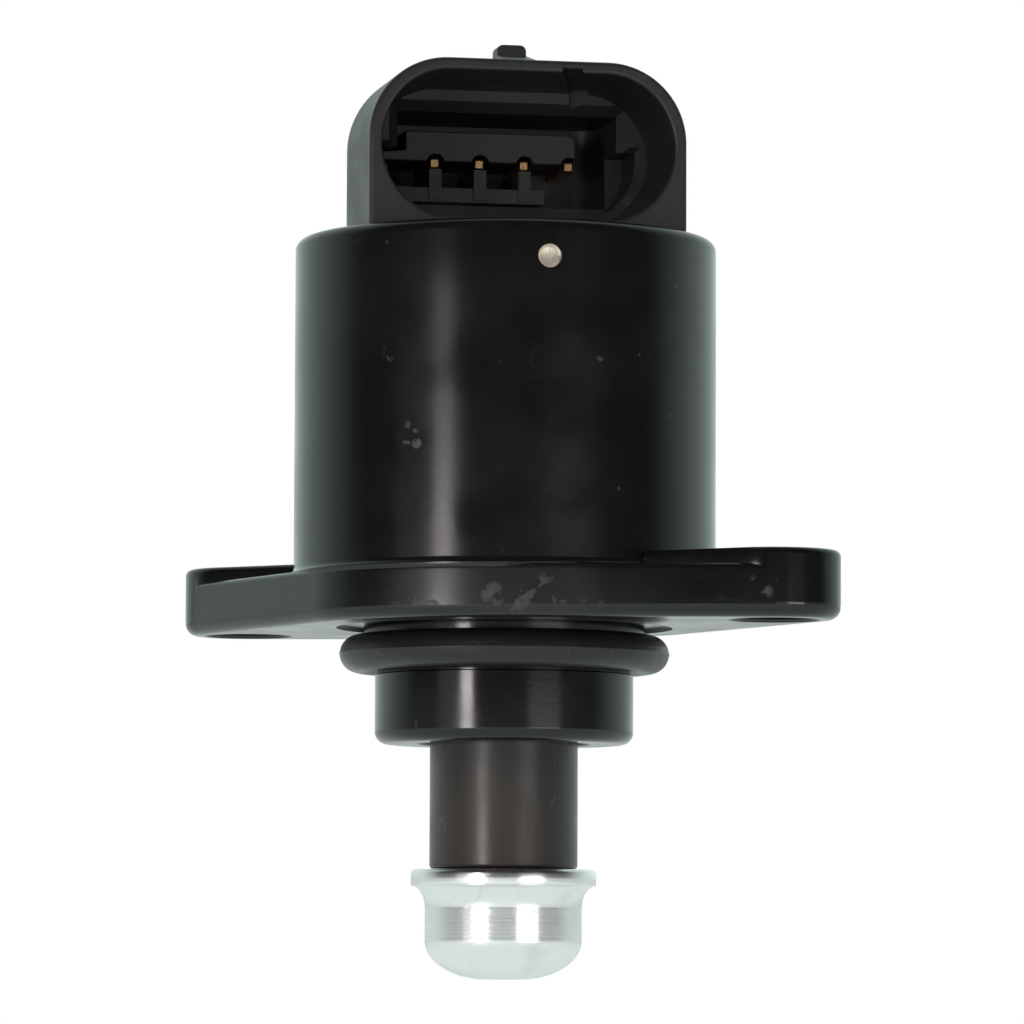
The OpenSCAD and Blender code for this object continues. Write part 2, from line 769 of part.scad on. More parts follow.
module bearing_cage() {
    color("#7d6f52") difference() {
        ring(ball_ring_r - race_land + 0.2, ball_ring_r + race_land - 0.2,
            bearing_z + 0.3, ball_z + 0.35);
        ball_set(ball_r + race_gap);
    }
}

// A wavy ring: three waves round the outer race.
module spring_washer() {
    steps = 48;
    r0 = ball_ring_r + ball_r + seat_gap;
    r1 = bearing_r - seat_gap;
    function wave(a) = washer_z + spring_washer_wave * (0.5 + 0.5 * cos(3 * a));
    rings = [for (i = [0 : steps - 1]) let (a = i * 360 / steps, z = wave(a))
        each [[r0 * cos(a), r0 * sin(a), z], [r1 * cos(a), r1 * sin(a), z],
            [r1 * cos(a), r1 * sin(a), z + spring_washer_t],
            [r0 * cos(a), r0 * sin(a), z + spring_washer_t]]];
    faces = [for (i = [0 : steps - 1], k = [0 : 3]) let (a = 4 * i, b = 4 * ((i + 1) % steps),
        n = (k + 1) % 4) each [[a + k, b + n, b + k], [a + k, a + n, b + n]]];
    color("#8b8f94") polyhedron(rings, faces);
}

module lead_screw() {
    color("#a9adb2") union() {
        translate([0, 0, screw_z]) cylinder(r = screw_r, h = screw_len);
        translate([0, 0, screw_z]) cylinder(d = screw_head_d, h = screw_head_h);
    }
}

module pintle_sleeve() {
    edge = 0.4;
    hollow_z = key_z;
    color("#3b322e") difference() {
        union() {
            rotate_extrude() polygon([
                [0, sleeve_z - tip_peg_len], [tip_peg_d / 2 - edge, sleeve_z - tip_peg_len],
                [tip_peg_d / 2, sleeve_z - tip_peg_len + edge], [tip_peg_d / 2, sleeve_z],
                [sleeve_r - edge, sleeve_z], [sleeve_r, sleeve_z + edge],
                [sleeve_r, sleeve_top], [0, sleeve_top]
            ]);
            for (side = [0, 180]) rotate([0, 0, side])
                translate([sleeve_r - OVER, -key_w / 2, key_z]) cube([key_step + OVER, key_w, key_len]);
        }
        translate([0, 0, screw_z - seat_gap]) cylinder(r = screw_r + seat_gap, h = screw_len);
        translate([0, 0, screw_z - seat_gap])
            cylinder(d = screw_head_d + 2 * seat_gap, h = screw_head_h + 2 * seat_gap);
        ring(screw_r + 1.1, sleeve_r - 1, hollow_z, sleeve_top + OVER);
    }
}

// The metal tip: a rim, a hollow curve, a straight part and a dome with a small flat.
module pintle_tip() {
    rim_r = tip_rim_d / 2;
    tip_r = tip_d / 2;
    edge = 0.35;
    cove_w = rim_r - tip_r;
    flat_r = tip_flat_d / 2;
    steps = 10;
    cove = [for (i = [1 : 6]) let (a = 90 * i / 6)
        [rim_r - cove_w * sin(a), tip_z - tip_rim_h - tip_cove_h * (1 - cos(a))]];
    dome = [for (i = [0 : steps]) let (a = 90 * i / steps)
        [flat_r + (tip_r - flat_r) * cos(a), tip_dome_z - tip_dome_h * sin(a)]];
    color("#d9dcdf") rotate_extrude() polygon(concat(
        [[tip_peg_d / 2 + seat_gap, tip_z], [rim_r - edge, tip_z], [rim_r, tip_z - edge],
            [rim_r, tip_z - tip_rim_h]],
        cove, dome,
        [[0, tip_end], [0, sleeve_z - tip_peg_len - seat_gap],
            [tip_peg_d / 2 + seat_gap, sleeve_z - tip_peg_len - seat_gap]]
    ));
}

valve_body();
connector_cap();
cap_seal();
o_ring();
guide_bush();
motor_shield();
terminal(0);  // terminal_1
terminal(1);  // terminal_2
terminal(2);  // terminal_3
terminal(3);  // terminal_4
lower_pole_cup();
lower_pole_plate();
upper_pole_plate();
upper_pole_cup();
bobbin(lower_bobbin_z);  // lower_bobbin
bobbin(upper_bobbin_z);  // upper_bobbin
winding(lower_bobbin_z);  // lower_winding
winding(upper_bobbin_z);  // upper_winding
front_bush();
rotor_magnet();
rotor_hub();
rotor_nut();
bearing_outer_race();
bearing_inner_race();
bearing_balls();
bearing_cage();
spring_washer();
lead_screw();
pintle_sleeve();
pintle_tip();
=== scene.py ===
"""The looks of an idle air control valve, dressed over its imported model."""
import math

import bmesh
import bpy
from mathutils import Matrix, Vector


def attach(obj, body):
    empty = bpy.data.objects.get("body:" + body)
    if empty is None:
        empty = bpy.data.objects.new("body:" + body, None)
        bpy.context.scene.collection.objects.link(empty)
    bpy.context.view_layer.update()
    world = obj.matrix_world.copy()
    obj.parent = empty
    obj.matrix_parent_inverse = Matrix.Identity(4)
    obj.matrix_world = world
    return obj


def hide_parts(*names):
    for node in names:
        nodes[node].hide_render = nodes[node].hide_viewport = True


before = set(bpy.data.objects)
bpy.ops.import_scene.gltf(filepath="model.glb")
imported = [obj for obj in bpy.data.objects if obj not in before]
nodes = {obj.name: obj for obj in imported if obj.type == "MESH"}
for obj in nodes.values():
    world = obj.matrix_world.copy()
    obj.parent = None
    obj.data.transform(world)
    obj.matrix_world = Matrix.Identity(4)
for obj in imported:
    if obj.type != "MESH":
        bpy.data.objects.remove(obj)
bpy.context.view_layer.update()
MM = 0.001

# The camera stands level with the pintle's tip, half a metre away, and looks slightly up.
# The valve is turned so that the bolt hole on the right comes forward.
VIEW_TURN = math.radians(32.197)
CAMERA_DISTANCE = 490 * MM
CAMERA_HEIGHT = -27.37 * MM
AIM_RIGHT = 0.578 * MM
AIM_HEIGHT = 9.408 * MM
CAMERA_ROLL = 0.00392
FOCAL_LENGTH = 214.2

view_right = Vector((math.cos(VIEW_TURN), math.sin(VIEW_TURN), 0))
view_back = Vector((math.sin(VIEW_TURN), -math.cos(VIEW_TURN), 0))
camera_place = view_back * CAMERA_DISTANCE + Vector((0, 0, CAMERA_HEIGHT))
aim = view_right * AIM_RIGHT + Vector((0, 0, AIM_HEIGHT))
forward = (aim - camera_place).normalized()
level = forward.cross(Vector((0, 0, 1))).normalized()
upright = level.cross(forward)
right = level * math.cos(CAMERA_ROLL) + upright * math.sin(CAMERA_ROLL)
up = upright * math.cos(CAMERA_ROLL) - level * math.sin(CAMERA_ROLL)
camera = bpy.data.objects.new("camera", bpy.data.cameras.new("camera"))
bpy.context.collection.objects.link(camera)
camera.data.sensor_width = 36
camera.data.lens = FOCAL_LENGTH
camera.data.clip_start = 0.02
camera.matrix_world = Matrix.Translation(camera_place) @ Matrix((right, up, -forward)).transposed().to_4x4()
bpy.context.scene.camera = camera
bpy.context.scene.view_settings.view_transform = "Standard"


def seen_from(turn, rise, distance):
    """A place round the valve: turn is to the right of the camera's side, both in degrees."""
    a, e = math.radians(turn), math.radians(rise)
    flat = view_right * math.sin(a) + view_back * math.cos(a)
    return (flat * math.cos(e) + Vector((0, 0, math.sin(e)))) * distance


# The stage is a white surround behind the valve, a dark room on the camera's side, a pale floor
# and soft panels to the left and right of the camera. Metal and gloss also see a pale band that
# lies low all round the room, while the camera itself sees plain white.
FLOOR_HEIGHT = -75 * MM
FLOOR_SIZE = 5
FLOOR_COLOUR = (0.72, 0.82, 0.79, 1)
FLOOR_ROUGHNESS = 0.9
FLOOR_SHINE = 0.36
BEHIND_VALVE = (0.8, 0.96, 0.92, 1)
CAMERA_SIDE = (0.03, 0.03, 0.03, 1)
BETWEEN = ((0.28, (0.56, 0.69, 0.66, 1)), (0.42, (0.31, 0.38, 0.36, 1)), (0.5, (0.1, 0.12, 0.12, 1)),
           (0.57, CAMERA_SIDE))
LOW_BAND = (0.62, 0.63, 0.62, 1)
BAND_END = 0.024
BAND_FULL = 0.01
WHITE = (1, 1, 1, 1)


def placed(tree, kind, fed=None, **settings):
    """Place a node, set it up, and feed its inputs with values or with other nodes' outputs."""
    made = tree.nodes.new(kind)
    for name, value in settings.items():
        setattr(made, name, value)
    for name, value in (fed or {}).items():
        if isinstance(value, bpy.types.NodeSocket):
            tree.links.new(value, made.inputs[name])
        else:
            made.inputs[name].default_value = value
    return made


def blended(tree, share, low, high):
    """A colour that goes from low to high with a value. Both ends are colours or outputs."""
    mixed = placed(tree, "ShaderNodeMix", {"Factor": share, "A": low, "B": high}, data_type="RGBA")
    return mixed.outputs["Result"]


world = bpy.data.worlds.new("white_surround")
bpy.context.scene.world = world
world.use_nodes = True
sky = world.node_tree
sky.nodes.clear()
looking = placed(sky, "ShaderNodeTexCoord").outputs["Generated"]
turned_back = placed(sky, "ShaderNodeVectorMath", {0: looking, 1: view_back}, operation="DOT_PRODUCT")
from_behind = placed(sky, "ShaderNodeMapRange", {"Value": turned_back.outputs["Value"], "From Min": -1,
                                                 "From Max": 1})
surround = placed(sky, "ShaderNodeValToRGB", {"Fac": from_behind.outputs["Result"]})
surround.color_ramp.elements[0].color = BEHIND_VALVE
surround.color_ramp.elements[1].color = CAMERA_SIDE
for share, colour in BETWEEN:
    surround.color_ramp.elements.new(share).color = colour
steepness = placed(sky, "ShaderNodeSeparateXYZ", {"Vector": looking}).outputs["Z"]
low_down = placed(sky, "ShaderNodeMapRange", {"Value": steepness, "From Min": BAND_END,
                                              "From Max": BAND_FULL})
room = blended(sky, low_down.outputs["Result"], surround.outputs["Color"], LOW_BAND)
camera_ray = placed(sky, "ShaderNodeLightPath").outputs["Is Camera Ray"]
glow = placed(sky, "ShaderNodeBackground", {"Color": blended(sky, camera_ray, room, WHITE)})
placed(sky, "ShaderNodeOutputWorld", {"Surface": glow.outputs["Background"]})

bpy.ops.mesh.primitive_plane_add(size=FLOOR_SIZE, location=(0, 0, FLOOR_HEIGHT))
floor = bpy.context.object
floor.name = "floor"
pale = bpy.data.materials.new("pale_floor")
pale.use_nodes = True
shader = pale.node_tree.nodes["Principled BSDF"]
shader.inputs["Base Color"].default_value = FLOOR_COLOUR
shader.inputs["Roughness"].default_value = FLOOR_ROUGHNESS
glossy_ray = placed(pale.node_tree, "ShaderNodeLightPath").outputs["Is Glossy Ray"]
shine = placed(pale.node_tree, "ShaderNodeMath", {0: glossy_ray, 1: FLOOR_SHINE}, operation="MULTIPLY")
pale.node_tree.links.new(shine.outputs["Value"], shader.inputs["Emission Color"])
shader.inputs["Emission Strength"].default_value = 1
floor.data.materials.append(pale)


def panel(name, turn, rise, distance, width, height, radiance, colour=(1, 1, 1), mirrored=True):
    """A soft panel that faces the valve. Its brightness is what a mirror shows of it."""
    lamp = bpy.data.lights.new(name, "AREA")
    lamp.shape = "RECTANGLE"
    lamp.size = width
    lamp.size_y = height
    lamp.energy = radiance * math.pi * width * height
    lamp.color = colour
    holder = bpy.data.objects.new(name, lamp)
    bpy.context.collection.objects.link(holder)
    holder.location = seen_from(turn, rise, distance)
    holder.rotation_euler = (-holder.location).to_track_quat("-Z", "Y").to_euler()
    holder.visible_camera = False
    holder.visible_glossy = mirrored


panel("left_panel", turn=-33, rise=-12, distance=0.9, width=0.16, height=0.5, radiance=17,
      colour=(1, 0.95, 0.93))
panel("left_glow", turn=-50, rise=-10, distance=0.95, width=0.34, height=0.5, radiance=0.5,
      colour=(1, 0.97, 0.95))
panel("right_panel", turn=36, rise=-20, distance=0.9, width=0.5, height=0.45, radiance=1.6,
      colour=(1, 0.94, 0.92))
panel("right_low", turn=36, rise=-3.4, distance=0.9, width=0.46, height=0.1, radiance=4.5,
      colour=(1, 0.96, 0.94))
panel("front_fill", turn=-10, rise=35, distance=1.5, width=1.4, height=1.4, radiance=2, mirrored=False)


# The body is one moulding of glass-filled nylon: motor wall, two-eared flange, neck and lip.
# It leaves its mould with a glossy black skin, a parting line round the flange and a round
# mark near the rim, and the bench has left a few scuffs on it.
TURN_STEPS = 192
MERGED = 0.0005 * MM
EDGE_ANGLE = math.radians(32)
BODY_RADIUS = 17.0
BODY_TOP = 31.3
BODY_EDGE = 0.9
MOTOR_BORE = 15.4
CAP_BORE = 16.0
CAP_SEAT = 28.8
FLOOR_TOP = 4.6
ROOM_RADIUS = BODY_RADIUS - 0.4
ROOM_FOOT = FLOOR_TOP - 0.1
GUIDE_BORE = 8.15
LIP_BORE = 6.95
LIP_TOP = -8.05
LIP_EDGE = 0.2
FLANGE_RADIUS = 17.3
FLANGE_TOP = 4.2
FLANGE_LOW_EDGE = 1.0
FLANGE_TOP_EDGE = 0.5
EAR_PLACE = 25.0
EAR_RADIUS = 5.2
PAD_RADIUS = 5.22
PAD_FOOT = FLANGE_LOW_EDGE + 0.2
PAD_TOP = 5.45
BOLT_HOLE = 3.4
HOLE_CHAMFER = 0.25
FOOT_FILLET = 0.55
NECK_RADIUS = 10.4
NECK_END = -9.35
NECK_EDGE = 1.0
GROOVE_RADIUS = 10.2
GROOVE_END = -3.75
GROOVE_EDGE = 0.1
COLLAR_RADIUS = 11.3
COLLAR_END = -0.55
COLLAR_BACK = COLLAR_RADIUS + 0.3
FLANGE_BORE = COLLAR_RADIUS + 0.2
RELIEF_RADIUS = 13.55
RELIEF_DEPTH = 0.3
CONNECTOR_TURN = math.radians(-46)
MARK_HEIGHT = 28.3
MARK_RADIUS = 0.95
MARK_DEPTH = 0.5
MARK_ROUND = 0.25


def arc(across, height, radius, start, end, parts=8):
    """The corners of a round stretch as (distance from the axis, height); angles in degrees."""
    turns = [math.radians(start + (end - start) * i / parts) for i in range(parts + 1)]
    return [(across + radius * math.cos(a), height + radius * math.sin(a)) for a in turns]


def only(piece):
    """Select one piece alone and make it the active one."""
    bpy.ops.object.select_all(action="DESELECT")
    piece.select_set(True)
    bpy.context.view_layer.objects.active = piece


def opened(piece):
    """Go into edit mode on one piece alone."""
    only(piece)
    bpy.ops.object.mode_set(mode="EDIT")


def chain(name, points):
    """A chain of edges through points, left open in edit mode with its last point selected."""
    bpy.ops.object.select_all(action="DESELECT")
    bpy.ops.mesh.primitive_plane_add(size=MM)
    piece = bpy.context.object
    piece.name = piece.data.name = name
    bpy.ops.object.mode_set(mode="EDIT")
    bpy.ops.mesh.select_mode(type="VERT")
    bpy.ops.mesh.select_all(action="SELECT")
    bpy.ops.mesh.merge(type="CENTER")
    here = Vector((0, 0, 0))
    for number, point in enumerate(points):
        step = Vector(point) * MM - here
        here += step
        if number:
            bpy.ops.mesh.extrude_region_move(TRANSFORM_OT_translate={"value": step})
        else:
            bpy.ops.transform.translate(value=step)
    return piece


def tidy_mesh():
    """Merge what meets, drop what is left over and point every face outwards, in edit mode."""
    bpy.ops.mesh.select_mode(type="VERT")
    bpy.ops.mesh.select_all(action="SELECT")
    bpy.ops.mesh.remove_doubles(threshold=MERGED)
    bpy.ops.mesh.delete_loose()
    bpy.ops.mesh.select_all(action="SELECT")
    bpy.ops.mesh.normals_make_consistent(inside=False)
    bpy.ops.object.mode_set(mode="OBJECT")


def turned(name, corners, steps=TURN_STEPS):
    """Swing a chain of corners (distance from the axis, height) all round the axis.

    A chain that starts on the axis also ends there, and any other is closed to a ring."""
    ends = [] if corners[0][0] == 0 else [corners[0]]
    piece = chain(name, [(r, 0, z) for r, z in corners + ends])
    bpy.ops.mesh.select_all(action="SELECT")
    bpy.ops.mesh.spin(steps=steps, angle=2 * math.pi, center=(0, 0, 0), axis=(0, 0, 1))
    tidy_mesh()
    return piece


def ring(name, inner, outer, bottom, top):
    """A plain ring, or a disc where the inner radius is nothing, to cut with."""
    return turned(name, [(inner, bottom), (outer, bottom), (outer, top), (inner, top)])


def choose(piece, kind, wanted):
    """In edit mode, select the vertices, edges or faces that wanted says yes to."""
    bpy.ops.mesh.select_mode(type=kind)
    mesh = bmesh.from_edit_mesh(piece.data)
    group = {"VERT": mesh.verts, "EDGE": mesh.edges, "FACE": mesh.faces}[kind]
    for item in group:
        item.select_set(False)
    for item in group:
        if wanted(item):
            item.select_set(True)
    mesh.select_flush_mode()
    bmesh.update_edit_mesh(piece.data)


def level_edges(height):
    """Says yes to an edge that lies at one height, in millimetres."""
    return lambda edge: all(abs(v.co.z / MM - height) < 0.01 for v in edge.verts)


def rounded_edges(piece, wanted, width, segments):
    """Round the edges of a piece that wanted says yes to."""
    opened(piece)
    choose(piece, "EDGE", wanted)
    bpy.ops.mesh.bevel(offset=width * MM, segments=segments, affect="EDGES")
    bpy.ops.object.mode_set(mode="OBJECT")


def worked(piece, tool, operation):
    """Cut a tool out of a piece, or join it on, and put the tool away."""
    only(piece)
    bpy.ops.object.modifier_add(type="BOOLEAN")
    step = piece.modifiers[-1]
    step.operation = operation
    step.solver = "EXACT"
    step.object = tool
    bpy.ops.object.modifier_apply(modifier=step.name)
    bpy.data.objects.remove(tool)


def finished(piece, body, slot, *nodes):
    """Give a piece clean smooth shading and its moving body, and hide its CAD nodes. The slot is not used."""
    opened(piece)
    tidy_mesh()
    bpy.ops.object.shade_smooth_by_angle(angle=EDGE_ANGLE)
    bpy.ops.object.modifier_add(type="WEIGHTED_NORMAL")
    piece.modifiers[-1].keep_sharp = True
    bpy.ops.object.modifier_apply(modifier=piece.modifiers[-1].name)
    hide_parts(*nodes)
    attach(piece, body)


def hull_of_discs(name, discs, bottom, top):
    """A plate stretched round upright discs, each given by its place along X and its radius."""
    bpy.ops.object.select_all(action="DESELECT")
    made = []
    for place, radius in discs:
        bpy.ops.mesh.primitive_cylinder_add(
            vertices=TURN_STEPS, radius=radius * MM, depth=(top - bottom) * MM,
            location=(place * MM, 0, (top + bottom) / 2 * MM))
        made.append(bpy.context.object)
    for disc in made:
        disc.select_set(True)
    bpy.ops.object.join()
    plate = bpy.context.object
    plate.name = plate.data.name = name
    bpy.ops.object.transform_apply(location=True, rotation=True, scale=True)
    bpy.ops.object.mode_set(mode="EDIT")
    bpy.ops.mesh.select_mode(type="VERT")
    bpy.ops.mesh.select_all(action="SELECT")
    bpy.ops.mesh.convex_hull()
    bpy.ops.mesh.select_all(action="SELECT")
    bpy.ops.mesh.dissolve_limited(angle_limit=math.radians(0.2))
    bpy.ops.object.mode_set(mode="OBJECT")
    return plate


# The motor wall, the neck and the lip are turned as one.
body = turned("body_moulding", [
    (CAP_BORE, BODY_TOP),
    *arc(BODY_RADIUS - BODY_EDGE, BODY_TOP - BODY_EDGE, BODY_EDGE, 90, 0, 8),
    *arc(BODY_RADIUS + FOOT_FILLET, FLANGE_TOP + FOOT_FILLET, FOOT_FILLET, 180, 242, 6),
    (FLANGE_RADIUS - 0.02, FLANGE_TOP - FLANGE_TOP_EDGE * 0.6), (FLANGE_RADIUS - 1, FLANGE_TOP / 2),
    (COLLAR_BACK, FLANGE_TOP / 2), (COLLAR_BACK, COLLAR_END), (GROOVE_RADIUS, COLLAR_END),
    (GROOVE_RADIUS, GROOVE_END), (NECK_RADIUS - GROOVE_EDGE, GROOVE_END),
    (NECK_RADIUS, GROOVE_END - GROOVE_EDGE),
    *arc(NECK_RADIUS - NECK_EDGE, NECK_END + NECK_EDGE, NECK_EDGE, 0, -90, 8),
    *arc(LIP_BORE + LIP_EDGE, NECK_END + LIP_EDGE, LIP_EDGE, -90, -180, 3),
    (LIP_BORE, LIP_TOP), (GUIDE_BORE, LIP_TOP), (GUIDE_BORE, FLOOR_TOP), (MOTOR_BORE, FLOOR_TOP),
    (MOTOR_BORE, CAP_SEAT), (CAP_BORE, CAP_SEAT)])

# The flange is stretched round three discs, with a raised pad at each ear, and drilled.
flange = hull_of_discs("flange", ((-EAR_PLACE, EAR_RADIUS), (0, FLANGE_RADIUS), (EAR_PLACE, EAR_RADIUS)),
                       0, FLANGE_TOP)
rounded_edges(flange, level_edges(0), FLANGE_LOW_EDGE, 6)
rounded_edges(flange, level_edges(FLANGE_TOP), FLANGE_TOP_EDGE, 4)
for side in (-1, 1):
    pad = hull_of_discs("pad", ((side * EAR_PLACE, PAD_RADIUS), (side * MOTOR_BORE, PAD_RADIUS)),
                        PAD_FOOT, PAD_TOP)
    rounded_edges(pad, level_edges(PAD_TOP), FLANGE_TOP_EDGE, 4)
    worked(flange, pad, "UNION")
worked(flange, ring("middle", 0, FLANGE_BORE, -1, PAD_TOP + 1), "DIFFERENCE")
worked(flange, ring("motor_room", 0, ROOM_RADIUS, ROOM_FOOT, PAD_TOP + 1), "DIFFERENCE")
for side in (-1, 1):
    drill = turned("drill", [(0, -1), (BOLT_HOLE + HOLE_CHAMFER + 1, -1), (BOLT_HOLE, HOLE_CHAMFER),
                             (BOLT_HOLE, PAD_TOP - HOLE_CHAMFER), (BOLT_HOLE + HOLE_CHAMFER + 1, PAD_TOP + 1),
                             (0, PAD_TOP + 1)], 96)
    drill.location.x = side * EAR_PLACE * MM
    worked(flange, drill, "DIFFERENCE")
worked(body, flange, "UNION")

# A shallow relief runs round the collar, and the moulding mark is sunk in the wall.
worked(body, ring("relief", COLLAR_RADIUS, RELIEF_RADIUS, -3, RELIEF_DEPTH), "DIFFERENCE")
mark_tool = turned("mark_tool", [(0, -MARK_DEPTH), (MARK_RADIUS - MARK_ROUND, -MARK_DEPTH * 0.9),
                                 (MARK_RADIUS, -MARK_DEPTH * 0.4), (MARK_RADIUS, 0.5), (0, 0.5)], 48)
mark_tool.matrix_world = (Matrix.Rotation(CONNECTOR_TURN, 4, "Z")
                          @ Matrix.Translation((BODY_RADIUS * MM, 0, MARK_HEIGHT * MM))
                          @ Matrix.Rotation(math.radians(90), 4, "Y"))
worked(body, mark_tool, "DIFFERENCE")
finished(body, "housing", "body_plastic", "valve_body")


def effect(name, takes, gives):
    """An empty shader node group. It takes {label: first value}, with None for a vector."""
    group = bpy.data.node_groups.new(name, "ShaderNodeTree")
    for label, value in takes.items():
        kind = "NodeSocketVector" if value is None else "NodeSocketFloat"
        socket = group.interface.new_socket(label, in_out="INPUT", socket_type=kind)
        if value is not None:
            socket.default_value = value
    for label in gives:
        group.interface.new_socket(label, in_out="OUTPUT", socket_type="NodeSocketFloat")
    return group, placed(group, "NodeGroupInput").outputs, placed(group, "NodeGroupOutput").inputs


def spread(tree, value, low, high, start=0.0, end=1.0):
    """Map a value's stretch from low to high smoothly on start to end."""
    ends = {"Value": value, "From Min": low, "From Max": high, "To Min": start, "To Max": end}
    return placed(tree, "ShaderNodeMapRange", ends, interpolation_type="SMOOTHSTEP").outputs["Result"]


def combined(tree, operation, *values):
    """Work values together in their order by one operation of the Math node."""
    total = values[0]
    for value in values[1:]:
        total = placed(tree, "ShaderNodeMath", {0: total, 1: value}, operation=operation).outputs["Value"]
    return total


def cloudy(tree, coords, scale, detail, distortion=0.0):
    """A noise value over the piece, by its scale and its detail."""
    return placed(tree, "ShaderNodeTexNoise", {"Vector": coords, "Scale": scale, "Detail": detail,
                                               "Distortion": distortion}).outputs["Fac"]


# What moulding leaves on a plastic skin: a fine grain, cloudy gloss, and a few pale specks.
SPECK_SPREAD = 620.0
SPECK_PATCHES = 330.0
moulded_skin, takes, gives = effect("moulded_skin", {"Vector": None, "Grain Scale": 3000.0,
                                                     "Cloud Scale": 160.0}, ("Grain", "Clouds", "Specks"))
dust = placed(moulded_skin, "ShaderNodeTexVoronoi", {"Vector": takes["Vector"], "Scale": SPECK_SPREAD})
specks = combined(moulded_skin, "MULTIPLY", spread(moulded_skin, dust.outputs["Distance"], 0.13, 0.05),
                  spread(moulded_skin, cloudy(moulded_skin, takes["Vector"], SPECK_PATCHES, 1.0), 0.58, 0.68))
moulded_skin.links.new(cloudy(moulded_skin, takes["Vector"], takes["Grain Scale"], 2.0), gives["Grain"])
moulded_skin.links.new(cloudy(moulded_skin, takes["Vector"], takes["Cloud Scale"], 4.0), gives["Clouds"])
moulded_skin.links.new(specks, gives["Specks"])

# What handling leaves: thin scratches in loose patches, all lying roughly one way. They are
# the lines on which a noise, drawn out along one direction, passes its middle value.
SCRATCH_AXIS = (0.3, 0.9, 0.2)
DRAWN_OUT = (0.09, 1.0, 1.0)
SCRATCH_PATCHES = 210.0
PATCH_EDGE = 0.56
handling, takes, gives = effect("handling_scratches", {"Vector": None, "Turn": 0.4, "Scale": 500.0},
                                ("Scratches",))
one_way = placed(handling, "ShaderNodeVectorRotate", {"Vector": takes["Vector"], "Angle": takes["Turn"],
                                                      "Axis": SCRATCH_AXIS}, rotation_type="AXIS_ANGLE")
drawn_out = placed(handling, "ShaderNodeVectorMath", {0: one_way.outputs["Vector"], 1: DRAWN_OUT},
                   operation="MULTIPLY").outputs["Vector"]
off_middle = combined(handling, "SUBTRACT", cloudy(handling, drawn_out, takes["Scale"], 1.0, 0.15), 0.5)
from_middle = placed(handling, "ShaderNodeMath", {0: off_middle}, operation="ABSOLUTE").outputs["Value"]
patches = cloudy(handling, takes["Vector"], SCRATCH_PATCHES, 2.0)
scratches = combined(handling, "MULTIPLY", spread(handling, from_middle, 0.012, 0.004),
                     combined(handling, "GREATER_THAN", patches, PATCH_EDGE))
handling.links.new(scratches, gives["Scratches"])


def used(tree, group, fed):
    """Place a shared effect in a material and give its outputs."""
    return placed(tree, "ShaderNodeGroup", fed, node_tree=group).outputs


def started(name):
    """A new material, its tree, its shader and the piece's own coordinates."""
    made = bpy.data.materials.new(name)
    made.use_nodes = True
    tree = made.node_tree
    return made, tree, tree.nodes["Principled BSDF"], placed(tree, "ShaderNodeTexCoord").outputs["Object"]


def raised(tree, height, depth):
    """A bump from a height map whose full swing is a depth in millimetres."""
    return placed(tree, "ShaderNodeBump", {"Height": height, "Distance": depth * MM}).outputs["Normal"]


def clothed(piece, material):
    """Give a piece its one material."""
    piece.data.materials.clear()
    piece.data.materials.append(material)


def moulded_plastic(name, colour, worn_colour, roughness, gloss_swing=0.05, grain=0.004, grain_scale=2400.0,
                    specks=0.3, scratches=0.3, turn=0.4):
    """A moulded plastic: its material, tree, shader, coordinates, and its masks of wear and gloss.

    The grain is a depth in millimetres; specks and scratches say how strongly they show."""
    made, tree, shader, coords = started(name)
    skin = used(tree, moulded_skin, {"Vector": coords, "Grain Scale": grain_scale})
    scratched = used(tree, handling, {"Vector": coords, "Turn": turn})["Scratches"]
    wear = combined(tree, "MAXIMUM", combined(tree, "MULTIPLY", skin["Specks"], specks),
                    combined(tree, "MULTIPLY", scratched, scratches))
    gloss = combined(tree, "ADD", spread(tree, skin["Clouds"], 0.3, 0.7, roughness - gloss_swing,
                                         roughness + gloss_swing), combined(tree, "MULTIPLY", wear, 0.25))
    tree.links.new(blended(tree, wear, colour, worn_colour), shader.inputs["Base Color"])
    tree.links.new(gloss, shader.inputs["Roughness"])
    tree.links.new(raised(tree, skin["Grain"], grain), shader.inputs["Normal"])
    return made, tree, shader, coords, wear, gloss


def near(tree, coords, spot, inner, outer):
    """One inside a ball round a spot, fading to nothing outside it; all in millimetres."""
    gap = placed(tree, "ShaderNodeVectorMath", {0: coords, 1: [c * MM for c in spot]}, operation="DISTANCE")
    return spread(tree, gap.outputs["Value"], outer * MM, inner * MM)


def band(tree, height, start, full, fading, end):
    """One between two heights, fading to nothing outside them; all in millimetres."""
    return combined(tree, "MULTIPLY", spread(tree, height, start * MM, full * MM),
                    spread(tree, height, end * MM, fading * MM))


def on_wall(turn, height):
    """A spot on the body's wall, by degrees to the right of the camera's side and its height."""
    return seen_from(turn, 0, BODY_RADIUS) + Vector((0, 0, height))


# The body's skin, with the bright floor of the moulding mark, a painted sheen lightening the flange's front,
# a worn burr along its parting line that also carries a painted highlight at the front, and scuffs on the
# wall, the flange and both ears.
GLOSS_BLACK = (0.0062, 0.0062, 0.0064, 1)
PALE_WEAR_AND_HIGHLIGHT = (0.07, 0.066, 0.06, 1)
SHEEN_BLACK = (0.017, 0.0155, 0.0145, 1)
BRIGHT_MARK = (0.95, 0.82, 0.7, 1)
SCUFF_GRAIN = 900.0
# Heights where a band starts, is full, fades and ends: the burr with its painted highlight, then the painted
# sheen.
BURR_AND_HIGHLIGHT_BAND = (0.75, 1.0, 1.15, 1.35)
PAINTED_SHEEN_BAND = (-0.2, 0.6, 3.6, 4.5)
